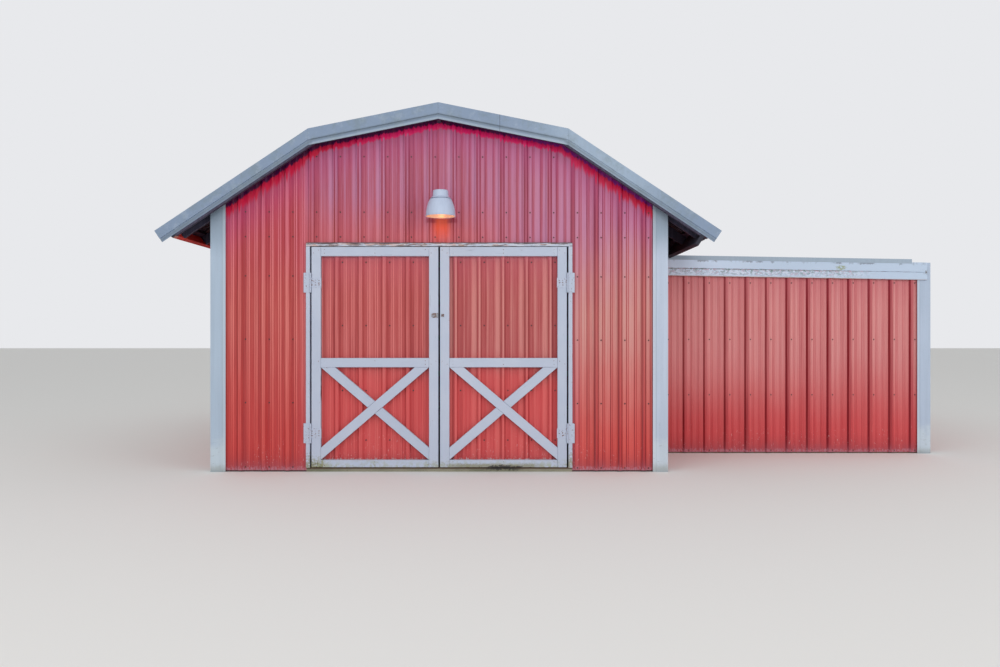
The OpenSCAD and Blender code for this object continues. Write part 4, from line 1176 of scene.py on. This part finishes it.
def lit_glass():
    """Frosted glass of the bulb, which glows a little"""
    c = Coat("lit_bulb")
    warm = c.mix(c.mottle(14.0, detail=2.0), rgb(250, 186, 136), rgb(240, 168, 110))
    return c.finish(warm, 0.3, Emission_Color=warm, Emission_Strength=GLASS_GLOW)


class BARN_OT_light_lamp(bpy.types.Operator):
    """Finish the lamp over the doors and light its bulb"""

    bl_idname = "barn.light_lamp"
    bl_label = "Light Lamp"

    def add_light(self, name, kind, tint, strength, place):
        light = bpy.data.lights.new(name, kind)
        light.color = tint
        light.energy = strength
        light.shadow_soft_size = SOURCE_SIZE
        source = add_object(name, light)
        source.location = place
        return source

    def execute(self, context):
        s = context.scene.barn_lamp
        dress(["light_housing", "light_shade"], lamp_enamel(s.enamel))
        dress(["light_bulb"], lit_glass())
        low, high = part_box("light_bulb")
        x, y, _ = (low + high) / 2
        self.add_light("bulb_light", "POINT", s.bulb, s.inner_power, (x, y, low.z - 0.012))
        spot = self.add_light("wall_light", "SPOT", s.glow, s.power, (x, y + 0.07, low.z - 0.028))
        spot.data.spot_size = BEAM_ANGLE
        spot.data.spot_blend = 1.0
        aim(spot, (x, FRONT_Y, BEAM_TARGET))
        return {"FINISHED"}


# Screws and nails

FASTENER_INPUTS = {
    "Geometry": "Geometry", "Head Width": "Float", "Head Height": "Float", "Washer Width": "Float",
    "Washer Height": "Float", "Facing": "Vector", "Seed": "Int", "Material": "Material"}


def fastener_tree():
    """Geometry nodes that set a washer and a hexagon head on each point, facing one way."""
    tree = bpy.data.node_groups.new("Fastener Heads", "GeometryNodeTree")
    for key, kind in FASTENER_INPUTS.items():
        tree.interface.new_socket(name=key, in_out="INPUT", socket_type="NodeSocket" + kind)
    tree.interface.new_socket(name="Geometry", in_out="OUTPUT", socket_type="NodeSocketGeometry")
    m = Maker(tree)
    source = tree.nodes.new("NodeGroupInput")
    given = {key: m.out(source, key) for key in FASTENER_INPUTS}

    def disc(sides, width, height, lift):
        shape = m.node("GeometryNodeMeshCylinder", {
            "Vertices": sides, "Radius": width * 0.5, "Depth": height})
        moved = m.node("GeometryNodeTransform", {
            "Geometry": m.out(shape), "Translation": m.join(0.0, 0.0, lift + height * 0.5)})
        return m.out(moved)

    both = m.node("GeometryNodeJoinGeometry")
    for part in (disc(10, given["Washer Width"], given["Washer Height"], 0.0),
                 disc(6, given["Head Width"], given["Head Height"], given["Washer Height"])):
        tree.links.new(part.socket, both.inputs[0])
    facing = m.out(m.node("FunctionNodeAlignRotationToVector", {"Vector": given["Facing"]}, axis="Z"))
    spin = m.out(m.node("FunctionNodeRandomValue", {"Max": 6.28, "Seed": given["Seed"]}), 1)
    turned = m.node("FunctionNodeRotateRotation", {
        "Rotation": facing,
        "Rotate By": m.out(m.node("FunctionNodeAxisAngleToRotation", {"Angle": spin}))},
        rotation_space="LOCAL")
    placed = m.node("GeometryNodeInstanceOnPoints", {
        "Points": given["Geometry"], "Instance": m.out(both), "Rotation": m.out(turned)})
    real = m.node("GeometryNodeRealizeInstances", {"Geometry": m.out(placed)})
    coated = m.node("GeometryNodeSetMaterial", {"Geometry": m.out(real), "Material": given["Material"]})
    m.node("NodeGroupOutput", {"Geometry": m.out(coated)})
    return tree


def fasteners(name, points, facing, body, coat, sizes, seed):
    """One piece of fastener heads at the given points."""
    if not points:
        raise RuntimeError(name + " found no sheet or board to sit on")
    tree = bpy.data.node_groups.get("Fastener Heads") or fastener_tree()
    mesh = bpy.data.meshes.new(name + "_points")
    mesh.from_pydata([tuple(p) for p in points], [], [])
    holder = add_object(name + "_points", mesh)
    heads = holder.modifiers.new("Heads", "NODES")
    heads.node_group = tree
    values = {**sizes, "Facing": facing, "Seed": seed, "Material": coat}
    for item in tree.interface.items_tree:
        if item.in_out == "INPUT" and item.name in values:
            heads[item.identifier] = values[item.name]
    holder.data.update()
    graph = bpy.context.evaluated_depsgraph_get()
    made = bpy.data.meshes.new_from_object(holder.evaluated_get(graph))
    made.name = name
    holder.modifiers.clear()
    bpy.data.objects.remove(holder)
    piece = add_object(name, made)
    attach(piece, body)


def on_skin(nodes, points, facing, reach=0.25):
    """Where lines from outside, against facing, first meet the outside of some CAD nodes."""
    bm = bmesh.new()
    for name in nodes:
        bm.from_mesh(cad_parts[name].data)
    skin = BVHTree.FromBMesh(bm)
    bm.free()
    way = Vector(facing)
    found = []
    for point in points:
        place, normal, _, _ = skin.ray_cast(Vector(point) + way * reach, -way, reach * 1.5)
        if place is not None and abs(normal.dot(way)) > 0.99:
            found.append(place)
    return found


def rib_places(rib, low, high, pitch):
    """Every place between low and high that lies whole pitches from rib."""
    first = math.ceil((low - rib) / pitch)
    last = math.floor((high - rib) / pitch)
    return [rib + k * pitch for k in range(first, last + 1)]


# Steps of the roof screws: down each slope from the knee, or up if below zero, and across the lean-to
LOWER_STEPS = (0.20, 0.66, 1.12, 1.62)
UPPER_STEPS = (-0.18, -0.60, -1.00)
LEAN_TO_STEPS = (0.10, 0.85, 1.6, 2.35)
LEAN_TO_TOP = 2.16
ROOF_RIB = 0.1143
WALL_END = 0.02
EAVE_END = 0.05
RAKE_END = 0.11
LEAN_TO_END = 0.10


class BARN_OT_drive_screws(bpy.types.Operator):
    """Set the screws of the siding, the doors and the roof"""

    bl_idname = "barn.drive_screws"
    bl_label = "Drive Screws"

    def wall(self, name, wall, nodes, body="root", slot="siding_paint"):
        """Screws beside each tall rib of a wall's sheets, at its rows."""
        corners = [span(node) for node in nodes]
        low = [min(values) for values in zip(*(low for low, _ in corners))]
        high = [max(values) for values in zip(*(high for _, high in corners))]
        point = [high[i] if wall.facing[i] > 0 else low[i] for i in range(3)]
        k = wall.axis
        points = []
        for along in rib_places(wall.rib + self.offset + wall.shift, low[k] + WALL_END,
                                high[k] - WALL_END, self.pitch):
            for z in wall.rows:
                point[k] = along
                point[2] = z - along * wall.drop
                points.append(tuple(point))
        found = on_skin(nodes, points, wall.facing)
        if "gable" in name:
            found = [p for p in found if p.z < self.roof_line(p.x) - RAKE_END]
        fasteners(name, found, wall.facing, body, self.coat, self.sizes, len(found))

    def roof_line(self, x):
        aside = abs(x) - ROOF_KNEE[0]
        return ROOF_KNEE[1] - aside * math.tan(LOWER_SLOPE if aside > 0 else UPPER_SLOPE)

    def rows_back(self, node):
        """Places beside the ribs of a roof, from front to back."""
        low, high = span(node)
        return rib_places(ROOF_RIB + self.offset, low[1] + EAVE_END, high[1] - WALL_END, self.pitch)

    def slope(self, name, node, side, slope, steps, coat):
        """Screws beside each tall rib of one roof slope, at the given steps from the knee."""
        facing = (side * math.sin(slope), 0.0, math.cos(slope))
        points = [
            (side * (ROOF_KNEE[0] + step * math.cos(slope)), y, ROOF_KNEE[1] - step * math.sin(slope))
            for y in self.rows_back(node) for step in steps]
        found = on_skin([node], points, facing)
        fasteners(name, found, facing, "root", coat, self.sizes, len(found))

    def execute(self, context):
        metal = context.scene.barn_metal
        self.pitch = context.scene.barn_siding.pitch
        self.offset = metal.screw_offset
        self.coat = painted_iron("siding_screw_coat", metal.screw, metal.rust, 0.4)
        self.sizes = {
            "Head Width": metal.head_width, "Head Height": metal.head_height,
            "Washer Width": metal.washer_width, "Washer Height": 0.0012}
        walls = ribbed_walls(context.scene.barn_siding)
        doors = walls.pop("doors")
        pieces = {"front": "gable_front", "back": "gable_back", "left": "left_wall", "right": "right_wall"}
        for name, wall in walls.items():
            self.wall(pieces.get(name, name) + "_screws", wall, wall.nodes)
        for side, sheet in zip(("left", "right"), doors.nodes):
            self.wall(side + "_door_screws", doors, [sheet], side + "_door", "door_paint")
        coat = painted_iron("roof_screw_coat", metal.roof, metal.rust, 0.5)
        for side, word in ((-1, "left"), (1, "right")):
            self.slope(word + "_lower_roof_screws", "lower_roof_sheets", side, LOWER_SLOPE,
                       LOWER_STEPS, coat)
            self.slope(word + "_upper_roof_screws", "upper_roof_sheets", side, UPPER_SLOPE,
                       UPPER_STEPS, coat)
        low, high = span("lean_to_roof")
        facing = (math.sin(LEAN_TO_FALL), 0.0, math.cos(LEAN_TO_FALL))
        across = [*(low[0] + step for step in LEAN_TO_STEPS), high[0] - LEAN_TO_END]
        points = [
            (x, y, LEAN_TO_TOP - (x - low[0]) * math.tan(LEAN_TO_FALL))
            for y in self.rows_back("lean_to_roof") for x in across]
        found = on_skin(["lean_to_roof"], points, facing)
        fasteners("lean_to_roof_screws", found, facing, "root", coat, self.sizes, 9)
        return {"FINISHED"}


NAIL = {"Head Width": 0.004, "Head Height": 0.0004, "Washer Width": 0.0075, "Washer Height": 0.0006}
BOLT = {"Head Width": 0.008, "Head Height": 0.0025, "Washer Width": 0.012, "Washer Height": 0.0012}
NAIL_PAIR = ((-0.024, 0.014), (0.024, -0.014))
STRAP_HEIGHTS = (0.373, 1.820)
RAIL_END = 0.035


class BARN_OT_nail_boards(bpy.types.Operator):
    """Set the bolts of the hinges and the nails of the boards"""

    bl_idname = "barn.nail_boards"
    bl_label = "Nail Boards"

    def execute(self, context):
        boards = context.scene.barn_boards
        coat = painted_iron("nail_coat", boards.paint, context.scene.barn_metal.rust, 0.7)
        low, high = span("right_door_boards")
        x0, x1, width = low[0], high[0], boards.width
        rails = (low[2] + boards.bottom_rail / 2, boards.mid_rail, high[2] - width / 2)
        stiles = (x0 + width / 2, x1 - width / 2)
        inside = (x0 + width + RAIL_END, x1 - width - RAIL_END, (x0 + x1) / 2)
        nails = [(x + dx, z + dz) for x in stiles for z in rails for dx, dz in NAIL_PAIR]
        nails += [(x, z + dz) for x in inside for z in rails for dz in (-0.016, 0.018)]
        for side, sign in (("left", -1), ("right", 1)):
            body = side + "_door"
            points = on_skin([body + "_boards"], [(sign * x, low[1], z) for x, z in nails], FRONT)
            fasteners(body + "_nails", points, FRONT, body, coat, NAIL, 20 + sign)
            a, b = span(body + "_straps")
            spots = [
                (a[0] + (b[0] - a[0]) * share, a[1], z + dz) for z in STRAP_HEIGHTS
                for dz in (-0.022, 0.0, 0.022) for share in (0.2, 0.5, 0.8)]
            points = on_skin([body + "_straps"], spots, FRONT)
            fasteners(side + "_strap_bolts", points, FRONT, body, coat, BOLT, 30 + sign)
        return {"FINISHED"}


# Stage

# Each soft lamp's name, place, target, size and strength
PANELS = (
    ("key_panel", (-6.0, -13.0, 9.0), (0.6, 0.0, 1.4), 9.0, 304.0),
    ("fill_panel", (12.0, -13.0, 5.0), (3.0, 0.0, 1.2), 8.0, 386.0),
    ("front_panel", (1.2, -21.0, 6.6), (1.0, 0.0, 1.4), 7.0, 590.0),
)
FLOOR_HALF = 60.0
SOFT_LIGHT = 0.60


class BARN_OT_set_stage(bpy.types.Operator):
    """Set the camera, the floor and the soft light"""

    bl_idname = "barn.set_stage"
    bl_label = "Set Stage"

    def execute(self, context):
        scene = context.scene
        s = scene.barn_stage
        camera = bpy.data.cameras.new("photo_camera")
        camera.lens = s.lens
        camera.sensor_width = 36.0
        camera.shift_x, camera.shift_y = s.shift
        scene.camera = add_object("photo_camera", camera)
        scene.camera.location = s.camera_place
        scene.camera.rotation_euler = (math.radians(90), 0.0, 0.0)
        self.make_floor(s)
        scene.world = self.make_world(s)
        for name, place, target, size, strength in PANELS:
            light = bpy.data.lights.new(name, "AREA")
            light.size = size
            light.energy = strength
            panel = add_object(name, light)
            panel.location = place
            aim(panel, target)
        scene.view_settings.view_transform = "Standard"
        return {"FINISHED"}

    def make_floor(self, s):
        mesh = bpy.data.meshes.new("studio_floor")
        corners = [(x, y, 0.0) for x, y in rectangle(-FLOOR_HALF, FLOOR_HALF, -FLOOR_HALF, FLOOR_HALF)]
        mesh.from_pydata(corners, [], [(0, 1, 2, 3)])
        c = Coat("studio_floor_paint")
        mesh.materials.append(
            c.finish(c.mix(c.mottle(0.4, detail=2.0) * 0.15, s.floor, s.backdrop), 0.9))
        add_object("studio_floor", mesh)

    def make_world(self, s):
        """Soft even light, with the plain backdrop where the camera or a shiny face sees it."""
        world = bpy.data.worlds.new("studio_world")
        world.use_nodes = True
        world.node_tree.nodes.clear()
        m = Maker(world.node_tree)
        path = m.node("ShaderNodeLightPath")
        seen = m.most(m.out(path, "Is Camera Ray"),
                      m.most(m.out(path, "Is Glossy Ray"), m.out(path, "Is Transmission Ray")))
        light = m.node("ShaderNodeBackground", {"Color": rgb(255, 255, 255), "Strength": SOFT_LIGHT})
        backdrop = m.node("ShaderNodeBackground", {"Color": s.backdrop, "Strength": 1.0})
        choice = m.node("ShaderNodeMixShader", {0: seen, 1: m.out(light), 2: m.out(backdrop)})
        m.node("ShaderNodeOutputWorld", {"Surface": m.out(choice)})
        return world


class BARN_PT_panel(bpy.types.Panel):
    """Steps that finish the barn, in order"""

    bl_idname = "BARN_PT_panel"
    bl_label = "Red Barn"
    bl_space_type = "VIEW_3D"
    bl_region_type = "UI"
    bl_category = "Barn"

    def draw(self, context):
        for step in STEPS:
            self.layout.operator(step.bl_idname)
        for group, kind in GROUPS.items():
            box = self.layout.box()
            for key in kind.__annotations__:
                box.prop(getattr(context.scene, group), key)


STEPS = (
    BARN_OT_paint_siding,
    BARN_OT_coat_trims,
    BARN_OT_make_boards,
    BARN_OT_finish_timber,
    BARN_OT_finish_hardware,
    BARN_OT_light_lamp,
    BARN_OT_drive_screws,
    BARN_OT_nail_boards,
    BARN_OT_set_stage,
)


def register():
    for kind in (*GROUPS.values(), *STEPS, BARN_PT_panel):
        bpy.utils.register_class(kind)
    for name, kind in GROUPS.items():
        setattr(bpy.types.Scene, name, bpy.props.PointerProperty(type=kind))


def unregister():
    for name in GROUPS:
        delattr(bpy.types.Scene, name)
    for kind in reversed((*GROUPS.values(), *STEPS, BARN_PT_panel)):
        bpy.utils.unregister_class(kind)


def main():
    register()
    bpy.ops.barn.paint_siding()
    bpy.ops.barn.coat_trims()
    bpy.ops.barn.make_boards()
    bpy.ops.barn.finish_timber()
    bpy.ops.barn.finish_hardware()
    bpy.ops.barn.light_lamp()
    bpy.ops.barn.drive_screws()
    bpy.ops.barn.nail_boards()
    bpy.ops.barn.set_stage()


if __name__ == "__main__":
    main()
